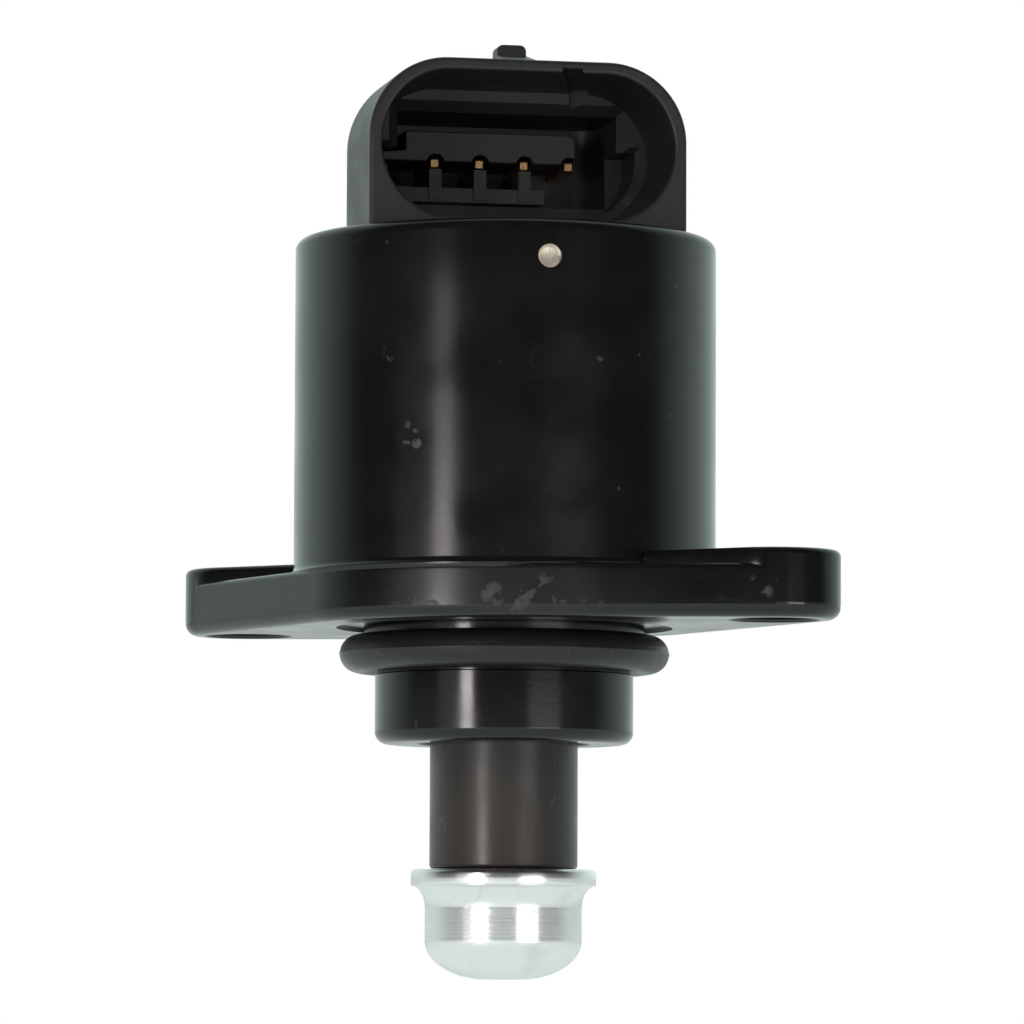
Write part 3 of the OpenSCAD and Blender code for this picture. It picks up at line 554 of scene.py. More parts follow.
# A wall scuff: degrees to the right of the camera's side, height, reach and thinness. An ear
# scuff: its place along X, Y and Z.
WALL_SCUFFS = ((-27, 14.4, 1.2, 0.5), (-24, 13.6, 0.5, 0.42), (24, 19.5, 1.4, 0.56), (3, 1.6, 1.6, 0.5),
               (10, 1.9, 1.8, 0.5), (-3, 1.7, 1.2, 0.52), (-34, 20.5, 1.5, 0.58), (12, 9.5, 1.2, 0.58))
EAR_SCUFFS = ((-29.3, -2.1, 1.9), (-26.0, -4.6, 1.6), (-23.6, -5.6, 2.6), (29.6, -0.8, 4.2), (28.4, 3.6, 3.4),
              (26.5, -4.9, 2.2))
body_black, tree, shader, coords, wear, gloss = moulded_plastic(
    "body_plastic", GLOSS_BLACK, PALE_WEAR_AND_HIGHLIGHT, roughness=0.17, gloss_swing=0.04, grain=0.0025,
    grain_scale=2600.0, specks=0.55, scratches=0.07)
height = placed(tree, "ShaderNodeSeparateXYZ", {"Vector": coords}).outputs["Z"]
patchy = cloudy(tree, coords, SCUFF_GRAIN, 8.0)
# Near the front, the band along the flange's lower edge is partly a worn burr and partly a painted highlight
# line.
scuffs_and_edge_highlight = combined(tree, "MULTIPLY", band(tree, height, *BURR_AND_HIGHLIGHT_BAND), spread(tree, patchy, 0.5, 0.62),
                  near(tree, coords, on_wall(-2, 1.1), 5.5, 9.5))
for turn, place, reach, thin in WALL_SCUFFS:
    scuff = combined(tree, "MULTIPLY", near(tree, coords, on_wall(turn, place), reach / 2, reach),
                     spread(tree, patchy, thin, thin + 0.1))
    scuffs_and_edge_highlight = combined(tree, "MAXIMUM", scuffs_and_edge_highlight, scuff)
for spot in EAR_SCUFFS:
    scuff = combined(tree, "MULTIPLY", near(tree, coords, spot, 0.5, 1.3), spread(tree, patchy, 0.52, 0.6))
    scuffs_and_edge_highlight = combined(tree, "MAXIMUM", scuffs_and_edge_highlight, scuff)
# Painted sheen: the flange's front towards the camera is coloured lighter and made a little rougher.
front_sheen = combined(tree, "MULTIPLY", band(tree, height, *PAINTED_SHEEN_BAND),
                 near(tree, coords, on_wall(-4, 1.6), 6.5, 10.5))
mark_floor = Matrix.Rotation(CONNECTOR_TURN, 3, "Z") @ Vector((BODY_RADIUS - MARK_DEPTH, 0, MARK_HEIGHT))
mark = near(tree, coords, mark_floor, MARK_RADIUS - 0.02, MARK_RADIUS + 0.04)
sheened_black = blended(tree, combined(tree, "MULTIPLY", front_sheen, 0.8), GLOSS_BLACK, SHEEN_BLACK)
wear_and_highlight = combined(tree, "MAXIMUM", wear, combined(tree, "MULTIPLY", scuffs_and_edge_highlight, 0.8))
worn_and_sheened = blended(tree, wear_and_highlight, sheened_black, PALE_WEAR_AND_HIGHLIGHT)
tree.links.new(blended(tree, mark, worn_and_sheened, BRIGHT_MARK), shader.inputs["Base Color"])
tree.links.new(combined(tree, "ADD", gloss, combined(tree, "MULTIPLY", scuffs_and_edge_highlight, 0.3),
                        combined(tree, "MULTIPLY", front_sheen, 0.08), combined(tree, "MULTIPLY", mark, 0.12)),
               shader.inputs["Roughness"])
tree.links.new(combined(tree, "MULTIPLY", mark, 0.75), shader.inputs["Metallic"])
clothed(body, body_black)


# The O-ring sits in the corner under the flange, in a shallow groove of the neck. It is black
# rubber, pressed in a two-part mould that leaves a fine line round its widest place.
RING_SECTION = 1.5
RING_RADIUS = 11.75
RING_HEIGHT = -2.1
RING_FLAT = 1.48
RING_FLASH = 0.04
FLASH_HALF = 0.03
SEAL_BLACK = (0.017, 0.0152, 0.0145, 1)
SEAL_DUST = (0.075, 0.07, 0.066, 1)
ring_face = [corner for corner in arc(RING_RADIUS, RING_HEIGHT, RING_SECTION, 6, 354, 58)
             if corner[0] > RING_RADIUS - RING_FLAT]
flash_end = RING_RADIUS + RING_SECTION + RING_FLASH
seal_ring = turned("seal_ring", ring_face + [(flash_end, RING_HEIGHT - FLASH_HALF),
                                             (flash_end, RING_HEIGHT + FLASH_HALF)])
finished(seal_ring, "housing", "seal_rubber", "o_ring")
rubber = moulded_plastic("seal_rubber", SEAL_BLACK, SEAL_DUST, roughness=0.38, gloss_swing=0.08,
                         grain_scale=2600.0, specks=0.7)[0]
clothed(seal_ring, rubber)


# The pintle sleeve is moulded of dark brown plastic. It slides in the guide bush, which two
# keys on its upper end keep from turning, and the lead screw is locked inside it.
SLEEVE_RADIUS = 5.95
SLEEVE_TOP = -0.6
SLEEVE_END = -19.35
SLEEVE_EDGE = 0.3
SLEEVE_STEPS = 128
TOP_EDGE = 0.2
SLEEVE_HOLLOW = -6.7
SLEEVE_WALL = 1.0
SCREW_SOCKET = 2.05
SCREW_BOSS = 3.1
SCREW_SEAT = -14.65
HEAD_SOCKET = 3.25
HEAD_HEIGHT = 2.5
PEG_RADIUS = 3.0
PEG_END = -24.35
PEG_EDGE = 0.4
KEY_WIDTH = 2.0
KEY_STEP = 0.7
KEY_LENGTH = 4.6
KEY_SUNK = 0.5
SLEEVE_BROWN = (0.044, 0.034, 0.031, 1)
SLEEVE_WEAR = (0.2, 0.18, 0.16, 1)
sleeve = turned("sleeve_moulding", [
    (0, PEG_END), (PEG_RADIUS - PEG_EDGE, PEG_END), (PEG_RADIUS, PEG_END + PEG_EDGE),
    (PEG_RADIUS, SLEEVE_END),
    *arc(SLEEVE_RADIUS - SLEEVE_EDGE, SLEEVE_END + SLEEVE_EDGE, SLEEVE_EDGE, -90, 0, 4),
    (SLEEVE_RADIUS, SLEEVE_TOP - TOP_EDGE), (SLEEVE_RADIUS - TOP_EDGE, SLEEVE_TOP),
    (SLEEVE_RADIUS - SLEEVE_WALL, SLEEVE_TOP), (SLEEVE_RADIUS - SLEEVE_WALL, SLEEVE_HOLLOW),
    (SCREW_BOSS, SLEEVE_HOLLOW), (SCREW_BOSS, SLEEVE_TOP), (SCREW_SOCKET, SLEEVE_TOP),
    (SCREW_SOCKET, SCREW_SEAT + HEAD_HEIGHT), (HEAD_SOCKET, SCREW_SEAT + HEAD_HEIGHT),
    (HEAD_SOCKET, SCREW_SEAT), (0, SCREW_SEAT)], SLEEVE_STEPS)
for side in (-1, 1):
    bpy.ops.mesh.primitive_cube_add(
        size=1, scale=((KEY_STEP + KEY_SUNK) * MM, KEY_WIDTH * MM, KEY_LENGTH * MM),
        location=(side * (SLEEVE_RADIUS + (KEY_STEP - KEY_SUNK) / 2) * MM, 0,
                  (SLEEVE_HOLLOW + KEY_LENGTH / 2) * MM))
    key = bpy.context.object
    bpy.ops.object.transform_apply(location=True, scale=True)
    rounded_edges(key, lambda edge: abs(edge.verts[0].co.z - edge.verts[1].co.z) > MM, 0.2, 2)
    worked(sleeve, key, "UNION")
finished(sleeve, "pintle", "sleeve_plastic", "pintle_sleeve")
sleeve_skin = moulded_plastic("sleeve_plastic", SLEEVE_BROWN, SLEEVE_WEAR, roughness=0.33, gloss_swing=0.07,
                              grain=0.005, grain_scale=2200.0, specks=0.8, scratches=0.25, turn=1.4)[0]
clothed(sleeve, sleeve_skin)


# The tip is turned from bright aluminium: a thin rim that closes the air port, a hollow
# curve, a short straight and a domed end. It is pressed on the sleeve's peg.
RIM_RADIUS = 7.45
RIM_TOP = -19.4
RIM_END = -20.7
RIM_EDGE = 0.35
COVE_END = -22.5
TIP_RADIUS = 6.3
TIP_STRAIGHT_END = -25.1
TIP_END = -28.2
TIP_FLAT = 1.3
PEG_SOCKET = 3.05
PEG_ROOM = 0.05
RIM_LOW_EDGE = 0.12
BRIGHT_ALUMINIUM = (0.93, 0.92, 0.91, 1)
GREY_ALUMINIUM = (0.6, 0.58, 0.56, 1)


def oval(across, height, wide, tall, start, end, parts):
    """The corners of a stretch of an ellipse; angles in degrees."""
    turns = [math.radians(start + (end - start) * i / parts) for i in range(parts + 1)]
    return [(across + wide * math.cos(a), height + tall * math.sin(a)) for a in turns]


tip = turned("turned_tip", [
    (0, PEG_END - PEG_ROOM), (PEG_SOCKET, PEG_END - PEG_ROOM), (PEG_SOCKET, RIM_TOP),
    *arc(RIM_RADIUS - RIM_EDGE, RIM_TOP - RIM_EDGE, RIM_EDGE, 90, 0, 5),
    *arc(RIM_RADIUS - RIM_LOW_EDGE, RIM_END + RIM_LOW_EDGE, RIM_LOW_EDGE, 0, -60, 3),
    *oval(RIM_RADIUS, COVE_END, RIM_RADIUS - TIP_RADIUS, RIM_END - COVE_END, 93, 180, 12),
    *oval(TIP_FLAT, TIP_STRAIGHT_END, TIP_RADIUS - TIP_FLAT, TIP_STRAIGHT_END - TIP_END, 0, -90, 24),
    (0, TIP_END)], 160)
finished(tip, "pintle", "tip_aluminium", "pintle_tip")

# What a lathe or a drawing die leaves: fine rings round the axis, by radius and height.
TOOL_FEED = 9000.0
tool_marks, takes, gives = effect("tool_marks", {"Vector": None, "Scale": TOOL_FEED}, ("Marks",))
place = placed(tool_marks, "ShaderNodeSeparateXYZ", {"Vector": takes["Vector"]}).outputs
flat_place = placed(tool_marks, "ShaderNodeCombineXYZ", {"X": place["X"], "Y": place["Y"]}).outputs["Vector"]
radius = placed(tool_marks, "ShaderNodeVectorMath", {0: flat_place}, operation="LENGTH").outputs["Value"]
ringed = placed(tool_marks, "ShaderNodeCombineXYZ", {"X": radius, "Z": place["Z"]}).outputs["Vector"]
tool_marks.links.new(cloudy(tool_marks, ringed, takes["Scale"], 2.0), gives["Marks"])


def metal(name, colour, dulled, roughness, tarnish, depth):
    """A worked metal: tool marks round the axis, cloudy tarnish and thin scratches.

    The depth is that of the marks in millimetres; tarnish says how strongly the dulled colour shows."""
    made, tree, shader, coords = started(name)
    marks = used(tree, tool_marks, {"Vector": coords})["Marks"]
    clouds = used(tree, moulded_skin, {"Vector": coords, "Cloud Scale": 260.0})["Clouds"]
    scratched = used(tree, handling, {"Vector": coords, "Turn": 1.2, "Scale": 700.0})["Scratches"]
    dull = combined(tree, "ADD", combined(tree, "MULTIPLY", spread(tree, clouds, 0.45, 0.75), tarnish),
                    combined(tree, "MULTIPLY", scratched, 0.25))
    tree.links.new(blended(tree, dull, colour, dulled), shader.inputs["Base Color"])
    tree.links.new(combined(tree, "ADD", spread(tree, marks, 0.3, 0.7, roughness - 0.05, roughness + 0.07),
                            combined(tree, "MULTIPLY", dull, 0.2)), shader.inputs["Roughness"])
    tree.links.new(raised(tree, marks, depth), shader.inputs["Normal"])
    shader.inputs["Metallic"].default_value = 1
    return made


clothed(tip, metal(
    "tip_aluminium", BRIGHT_ALUMINIUM, GREY_ALUMINIUM, roughness=0.2, tarnish=0.35, depth=0.002))


# The lead screw is rolled steel. Its head is locked in the sleeve, and the nut in the rotor
# runs on its thread, which has a pitch of one millimetre.
SCREW_RADIUS = 2.0
SCREW_START = -14.6
SCREW_END = 19.0
THREAD_PITCH = 1.0
THREAD_DEPTH = 0.3
THREAD_STEPS = 32
THREAD_FOOT = (0.02, 0.98)
THREAD_CREST = (0.42, 0.58)
THREAD_RUN_OUT = 1.2
SCREW_HEAD_RADIUS = 3.2
SCREW_HEAD_HEIGHT = 2.4
SCREW_GREY = (0.58, 0.57, 0.56, 1)
SCREW_DULL = (0.3, 0.29, 0.28, 1)
thread_start = SCREW_START + SCREW_HEAD_HEIGHT
root = SCREW_RADIUS - THREAD_DEPTH
thread = chain("thread", [
    (root - 0.1, 0, thread_start + THREAD_FOOT[0]), (SCREW_RADIUS, 0, thread_start + THREAD_CREST[0]),
    (SCREW_RADIUS, 0, thread_start + THREAD_CREST[1]), (root - 0.1, 0, thread_start + THREAD_FOOT[1])])
bpy.ops.mesh.select_all(action="SELECT")
bpy.ops.mesh.edge_face_add()
bpy.ops.mesh.delete(type="ONLY_FACE")
bpy.ops.object.mode_set(mode="OBJECT")
only(thread)
bpy.ops.object.modifier_add(type="SCREW")
rolling = thread.modifiers[-1]
rolling.screw_offset = THREAD_PITCH * MM
rolling.steps = rolling.render_steps = THREAD_STEPS
rolling.iterations = int(SCREW_END - THREAD_RUN_OUT - thread_start)
rolling.use_merge_vertices = True
rolling.merge_threshold = 0.002 * MM
bpy.ops.object.modifier_apply(modifier=rolling.name)
bpy.ops.object.mode_set(mode="EDIT")
bpy.ops.mesh.select_all(action="SELECT")
bpy.ops.mesh.fill_holes(sides=0)
tidy_mesh()
screw = turned("rolled_screw", [
    (0, SCREW_START), (SCREW_HEAD_RADIUS - 0.2, SCREW_START), (SCREW_HEAD_RADIUS, SCREW_START + 0.2),
    (SCREW_HEAD_RADIUS, thread_start), (root + 0.01, thread_start), (root + 0.01, SCREW_END - 0.3),
    (root - 0.3, SCREW_END), (0, SCREW_END)], THREAD_STEPS * 2)
worked(screw, thread, "UNION")
finished(screw, "pintle", "screw_steel", "lead_screw")
clothed(screw, metal("screw_steel", SCREW_GREY, SCREW_DULL, roughness=0.28, tarnish=0.4, depth=0.001))


# The cap is moulded with the plug's socket in one piece of brownish black plastic with a
# fine spark-eroded skin. It closes the motor room and holds the four terminals. Inside the
# wide mouth lie a shelf over the pins, a sill and ribs under them, and keyways at both sides.
CAP_RADIUS = 15.95
CAP_BOTTOM = 29.3
CAP_TOP = 31.0
CAP_EDGE = 0.3
BOSS_RADIUS = 7.75
BOSS_BORE = 7.05
BOSS_END = 25.25
WASHER_BORE = 5.98
WASHER_ROOM = 28.95
PRESS_BORE = 12.9
PRESS_RADIUS = 15.3
PRESS_END = 27.05
SOCKET_HALF = 12.9
SOCKET_FRONT = 9.1
SOCKET_FOOT = CAP_TOP - 0.5
SOCKET_TOP = 44.9
SOCKET_CORNER = 6.4
SOCKET_EDGE = 0.35
MOUTH_HALF = 11.9
MOUTH_BOTTOM = 32.2
MOUTH_TOP = 43.9
MOUTH_DRAFT = 0.5
MOUTH_EDGE = 0.3
LEDGE = 1.1
TUNNEL_HALF = 9.05
TUNNEL_BACK = -8.3
TUNNEL_TOP = 41.7
KEYWAY_HALF = 10.5
KEYWAY_BOTTOM = 33.2
KEYWAY_TOP = 38.8
KEYWAY_BACK = -3.9
KEYWAY_ROUND = 4.76
KEYWAY_LEAD = 0.4
TUNNEL_ROUND = 2
LEAD_IN = 0.85
SHELF_BOTTOM = 37.9
SHELF_TOP = 40.35
SHELF_LEFT = -8.0
SHELF_RIGHT = 6.05
SHELF_FRONT = -1.4
SHELF_ROUND = 0.4
SHELF_EDGE = 0.12
SHELF_WING = 0.4
SUPPORT_END = SOCKET_HALF - 0.5
PIN_HOLE = 0.75
SILL_BOTTOM = 34.65
SILL_TOP = 35.8
SILL_RIGHT = 3.5
SILL_FRONT = -1.7
RIB_FRONT = -1.5
RIB_HALF = 0.5
RIB_TOP = 37.3
PIN_PITCH = 3.7
PIN_HALF = 0.45
PIN_HEIGHT = 37.8
PIN_TIP = -1.9
LEG_PLACE = -9.25
LEG_END = 27.4
LEG_HOLE_HALF = 0.5
GROOVE_PLACE = 3.5
GROOVE_HALF = 0.8
GROOVE_DEPTH = 0.4
GROOVE_LENGTH = 8.5
GROOVE_SLANT = math.radians(16)
LATCH_HALF = 1.2
LATCH_FRONT = 2.1
LATCH_BACK = 0.2
LATCH_FOOT = SOCKET_TOP - 0.5
LATCH_TOP = 47.1
LATCH_EDGE = 0.5
LATCH_FRONT_EDGE = 0.15
RAMP_HEIGHT = 1.4
RAMP_END = 8.1
SUNK = 0.4
CAP_BROWN = (0.022, 0.0195, 0.0185, 1)
CAP_WEAR = (0.06, 0.056, 0.052, 1)
pin_places = [(number - 1.5) * PIN_PITCH for number in range(4)]


def drawn(name, outline, start, steps):
    """A solid drawn forward from a closed outline of (across, height) corners.

    Each step says how far forward the front goes and how many times as wide and tall it grows."""
    piece = chain(name, [(start, u, z) for u, z in outline])
    bpy.ops.mesh.select_all(action="SELECT")
    bpy.ops.mesh.edge_face_add()
    bpy.ops.mesh.select_all(action="SELECT")
    across = [u for u, z in outline]
    up = [z for u, z in outline]
    middle = (0, (min(across) + max(across)) / 2 * MM, (min(up) + max(up)) / 2 * MM)
    for forward_step, widening, heightening in steps:
        bpy.ops.mesh.extrude_region_move(TRANSFORM_OT_translate={"value": (forward_step * MM, 0, 0)})
        if widening != 1 or heightening != 1:
            bpy.ops.transform.resize(value=(1, widening, heightening), center_override=middle)
    tidy_mesh()
    return piece


def block(name, back, front_sheen, left, right, bottom, top):
    """A plain block in the connector's own directions, to cut with or to join on."""
    corners = [(left, bottom), (right, bottom), (right, top), (left, top)]
    return drawn(name, corners, back, [(front_sheen - back, 1, 1)])


# The socket's outside: half of its front outline is swung behind the axis to make the round
# back, and the open side is then drawn straight to the front.
outline = [(SOCKET_HALF, SOCKET_FOOT),
           *arc(SOCKET_HALF - SOCKET_CORNER, SOCKET_TOP - SOCKET_CORNER, SOCKET_CORNER, 0, 90, 20),
           (0, SOCKET_TOP)]
cap = chain("cap_moulding", [(0, u, z) for u, z in outline])
bpy.ops.mesh.select_all(action="SELECT")
bpy.ops.mesh.spin(steps=TURN_STEPS // 2, angle=-math.pi, center=(0, 0, 0), axis=(0, 0, 1))
bpy.ops.mesh.select_all(action="SELECT")
bpy.ops.mesh.remove_doubles(threshold=MERGED)
choose(cap, "EDGE", lambda edge: all(abs(v.co.x) < 0.001 * MM for v in edge.verts))
bpy.ops.mesh.extrude_region_move(TRANSFORM_OT_translate={"value": (SOCKET_FRONT * MM, 0, 0)})
choose(cap, "VERT", lambda v: v.co.x > (SOCKET_FRONT - 0.001) * MM)
bpy.ops.mesh.edge_face_add()
choose(cap, "VERT", lambda v: v.co.z < (SOCKET_FOOT + 0.001) * MM)
bpy.ops.mesh.edge_face_add()
tidy_mesh()
opened(cap)
bpy.ops.mesh.select_all(action="SELECT")
bpy.ops.mesh.dissolve_limited(angle_limit=math.radians(0.1))
bpy.ops.object.mode_set(mode="OBJECT")
rounded_edges(cap, lambda edge: all(v.co.x > (SOCKET_FRONT - 0.001) * MM for v in edge.verts)
              and any(v.co.z > CAP_TOP * MM for v in edge.verts), SOCKET_EDGE, 4)

# The disc with the bearing's boss and the press ring under it, and the latch on the roof.
disc = turned("cap_disc", [
    (0, CAP_BOTTOM), (WASHER_BORE, CAP_BOTTOM), (WASHER_BORE, WASHER_ROOM), (BOSS_BORE, WASHER_ROOM),
    (BOSS_BORE, BOSS_END), (BOSS_RADIUS, BOSS_END), (BOSS_RADIUS, CAP_BOTTOM), (PRESS_BORE, CAP_BOTTOM),
    (PRESS_BORE, PRESS_END), (PRESS_RADIUS, PRESS_END), (PRESS_RADIUS, CAP_BOTTOM), (CAP_RADIUS, CAP_BOTTOM),
    *arc(CAP_RADIUS - CAP_EDGE, CAP_TOP - CAP_EDGE, CAP_EDGE, 0, 90, 4), (0, CAP_TOP)])
worked(cap, disc, "UNION")
latch = drawn("latch", [(-LATCH_HALF, LATCH_FOOT), (LATCH_HALF, LATCH_FOOT),
                        *arc(LATCH_HALF - LATCH_EDGE, LATCH_TOP - LATCH_EDGE, LATCH_EDGE, 0, 90, 6),
                        *arc(LATCH_EDGE - LATCH_HALF, LATCH_TOP - LATCH_EDGE, LATCH_EDGE, 90, 180, 6)],
              LATCH_BACK, [(LATCH_FRONT - LATCH_BACK, 1, 1)])
rounded_edges(latch, lambda edge: all(v.co.x > (LATCH_FRONT - 0.01) * MM for v in edge.verts),
              LATCH_FRONT_EDGE, 2)
worked(cap, latch, "UNION")
ramp = drawn("latch_ramp", [(-LATCH_HALF, LATCH_FOOT), (LATCH_HALF, LATCH_FOOT),
                            (LATCH_HALF, SOCKET_TOP + RAMP_HEIGHT), (-LATCH_HALF, SOCKET_TOP + RAMP_HEIGHT)],
             LATCH_FRONT - 0.5, [(RAMP_END + 0.3 - LATCH_FRONT, 1, 1)])
opened(ramp)
choose(ramp, "VERT", lambda v: v.co.x > (RAMP_END - 1) * MM and v.co.z > SOCKET_TOP * MM)
bpy.ops.transform.translate(value=(0, 0, -(RAMP_HEIGHT + 0.02) * MM))
bpy.ops.object.mode_set(mode="OBJECT")
worked(cap, ramp, "UNION")

# The mouth's cutter starts at the ledge, widens by the draft, and flares round the front edge.
half = MOUTH_HALF - MOUTH_DRAFT
low, high = MOUTH_BOTTOM + MOUTH_DRAFT, MOUTH_TOP - MOUTH_DRAFT
end = (high - low) / 2
sizes = [(LEDGE, half, end)]
for degrees in (0, 22, 45, 67, 90):
    rise = math.radians(degrees)
    flare = MOUTH_EDGE * (1 - math.cos(rise))
    sizes.append((SOCKET_FRONT - MOUTH_EDGE * (1 - math.sin(rise)), MOUTH_HALF + flare,
                  (MOUTH_TOP - MOUTH_BOTTOM) / 2 + flare))
rim_steps = [(after[0] - before[0], after[1] / before[1], after[2] / before[2])
             for before, after in zip(sizes, sizes[1:])] + [(1, 1.05, 1.05)]
mouth_line = arc(half - end, low + end, end, -90, 90, 32) + arc(end - half, low + end, end, 90, 270, 32)
mouth = drawn("mouth", mouth_line, LEDGE, rim_steps)
worked(cap, mouth, "DIFFERENCE")

# The room behind the ledge: a tunnel with a lead-in and rounded back edges, and the keyways
# at both sides. The shelf, the sill and the ribs are what its cutter leaves standing.
tunnel_line = [(-TUNNEL_HALF, SILL_BOTTOM), (TUNNEL_HALF, SILL_BOTTOM), (TUNNEL_HALF, TUNNEL_TOP),
               (-TUNNEL_HALF, TUNNEL_TOP)]
tunnel = drawn("tunnel", tunnel_line, TUNNEL_BACK,
               [(LEDGE - LEAD_IN - TUNNEL_BACK, 1, 1), (LEAD_IN + 0.02, 1, 1)])
opened(tunnel)
choose(tunnel, "VERT", lambda v: v.co.x > LEDGE * MM and v.co.z > KEYWAY_TOP * MM)
bpy.ops.transform.translate(value=(0, 0, LEAD_IN * MM))
choose(tunnel, "VERT", lambda v: v.co.x > LEDGE * MM)
bpy.ops.transform.resize(value=(1, (TUNNEL_HALF + LEAD_IN) / TUNNEL_HALF, 1), center_override=(0, 0, 0))
bpy.ops.object.mode_set(mode="OBJECT")
rounded_edges(tunnel, lambda edge: all(v.co.x < (TUNNEL_BACK + 0.01) * MM for v in edge.verts)
              and abs(edge.verts[0].co.z - edge.verts[1].co.z) > MM, TUNNEL_ROUND, 6)
keyway_grow = (KEYWAY_HALF + KEYWAY_LEAD) / KEYWAY_HALF
keyway_rise = (KEYWAY_TOP - KEYWAY_BOTTOM + 2 * KEYWAY_LEAD) / (KEYWAY_TOP - KEYWAY_BOTTOM)
keyway_line = (arc(KEYWAY_HALF - KEYWAY_ROUND, KEYWAY_BOTTOM + KEYWAY_ROUND, KEYWAY_ROUND, -90, 0, 16)
               + [(KEYWAY_HALF, KEYWAY_TOP), (-KEYWAY_HALF, KEYWAY_TOP)]
               + arc(KEYWAY_ROUND - KEYWAY_HALF, KEYWAY_BOTTOM + KEYWAY_ROUND, KEYWAY_ROUND, 180, 270, 16))
keyway = drawn("keyway", keyway_line, KEYWAY_BACK, [
    (LEDGE - KEYWAY_LEAD - KEYWAY_BACK, 1, 1), (KEYWAY_LEAD, keyway_grow, keyway_rise), (0.05, 1, 1)])
worked(tunnel, keyway, "UNION")
groove = block("groove", SOCKET_FRONT - GROOVE_LENGTH, SOCKET_FRONT + 0.6, GROOVE_PLACE - GROOVE_HALF,
               GROOVE_PLACE + GROOVE_HALF, MOUTH_TOP - 1.5, MOUTH_TOP + GROOVE_DEPTH)
spot = Vector((SOCKET_FRONT, GROOVE_PLACE, MOUTH_TOP + GROOVE_DEPTH)) * MM
groove.matrix_world = (Matrix.Translation(spot) @ Matrix.Rotation(-GROOVE_SLANT, 4, "Z")
                       @ Matrix.Rotation(-math.atan(MOUTH_DRAFT / (SOCKET_FRONT - LEDGE)), 4, "Y")
                       @ Matrix.Translation(-spot))
worked(cap, groove, "DIFFERENCE")
shelf_line = [(-SUPPORT_END, SHELF_BOTTOM), (SHELF_RIGHT, SHELF_BOTTOM),
              (SHELF_RIGHT, SHELF_TOP - SHELF_ROUND), (SHELF_RIGHT - SHELF_ROUND, SHELF_TOP),
              (SHELF_LEFT, SHELF_TOP), (SHELF_LEFT, SHELF_BOTTOM + 2 * SHELF_WING),
              (-SUPPORT_END, SHELF_BOTTOM + SHELF_WING)]
shelf = drawn("shelf", shelf_line, TUNNEL_BACK - SUNK,
              [(SHELF_FRONT - SHELF_EDGE - TUNNEL_BACK + SUNK, 1, 1), (SHELF_EDGE, 0.99, 0.93)])
for place in pin_places:
    hole = drawn("pin_hole", arc(place, PIN_HEIGHT, PIN_HOLE, 0, 345, 23), TUNNEL_BACK - 1, [(10, 1, 1)])
    worked(shelf, hole, "DIFFERENCE")
worked(tunnel, shelf, "DIFFERENCE")
worked(tunnel, block("sill", TUNNEL_BACK - SUNK, SILL_FRONT, -KEYWAY_HALF - 0.5, SILL_RIGHT, SILL_BOTTOM,
                     SILL_TOP), "DIFFERENCE")
for place in pin_places[:3]:
    worked(tunnel, block("rib", TUNNEL_BACK - SUNK, RIB_FRONT, place - RIB_HALF, place + RIB_HALF,
                         SILL_BOTTOM + 0.2, RIB_TOP), "DIFFERENCE")
worked(cap, tunnel, "DIFFERENCE")
for place in pin_places:
    left, right = place - LEG_HOLE_HALF, place + LEG_HOLE_HALF
    worked(cap, block("leg_hole", LEG_PLACE - LEG_HOLE_HALF, LEG_PLACE + LEG_HOLE_HALF, left, right,
                      LEG_END - LEG_HOLE_HALF, PIN_HEIGHT + LEG_HOLE_HALF), "DIFFERENCE")
    worked(cap, block("pin_slot", LEG_PLACE, TUNNEL_BACK + 0.3, left, right, PIN_HEIGHT - LEG_HOLE_HALF,
                      PIN_HEIGHT + LEG_HOLE_HALF), "DIFFERENCE")


def facing_connector(piece):
    """Turn a finished piece that was drawn along X to the side the connector faces."""
    only(piece)
    piece.rotation_euler.z = CONNECTOR_TURN
    bpy.ops.object.transform_apply(rotation=True)


facing_connector(cap)
finished(cap, "housing", "cap_plastic", "connector_cap")
cap_skin = moulded_plastic("cap_plastic", CAP_BROWN, CAP_WEAR, roughness=0.45, grain=0.012,
                           grain_scale=2300.0, specks=0.35, scratches=0.25, turn=1.1)[0]
clothed(cap, cap_skin)


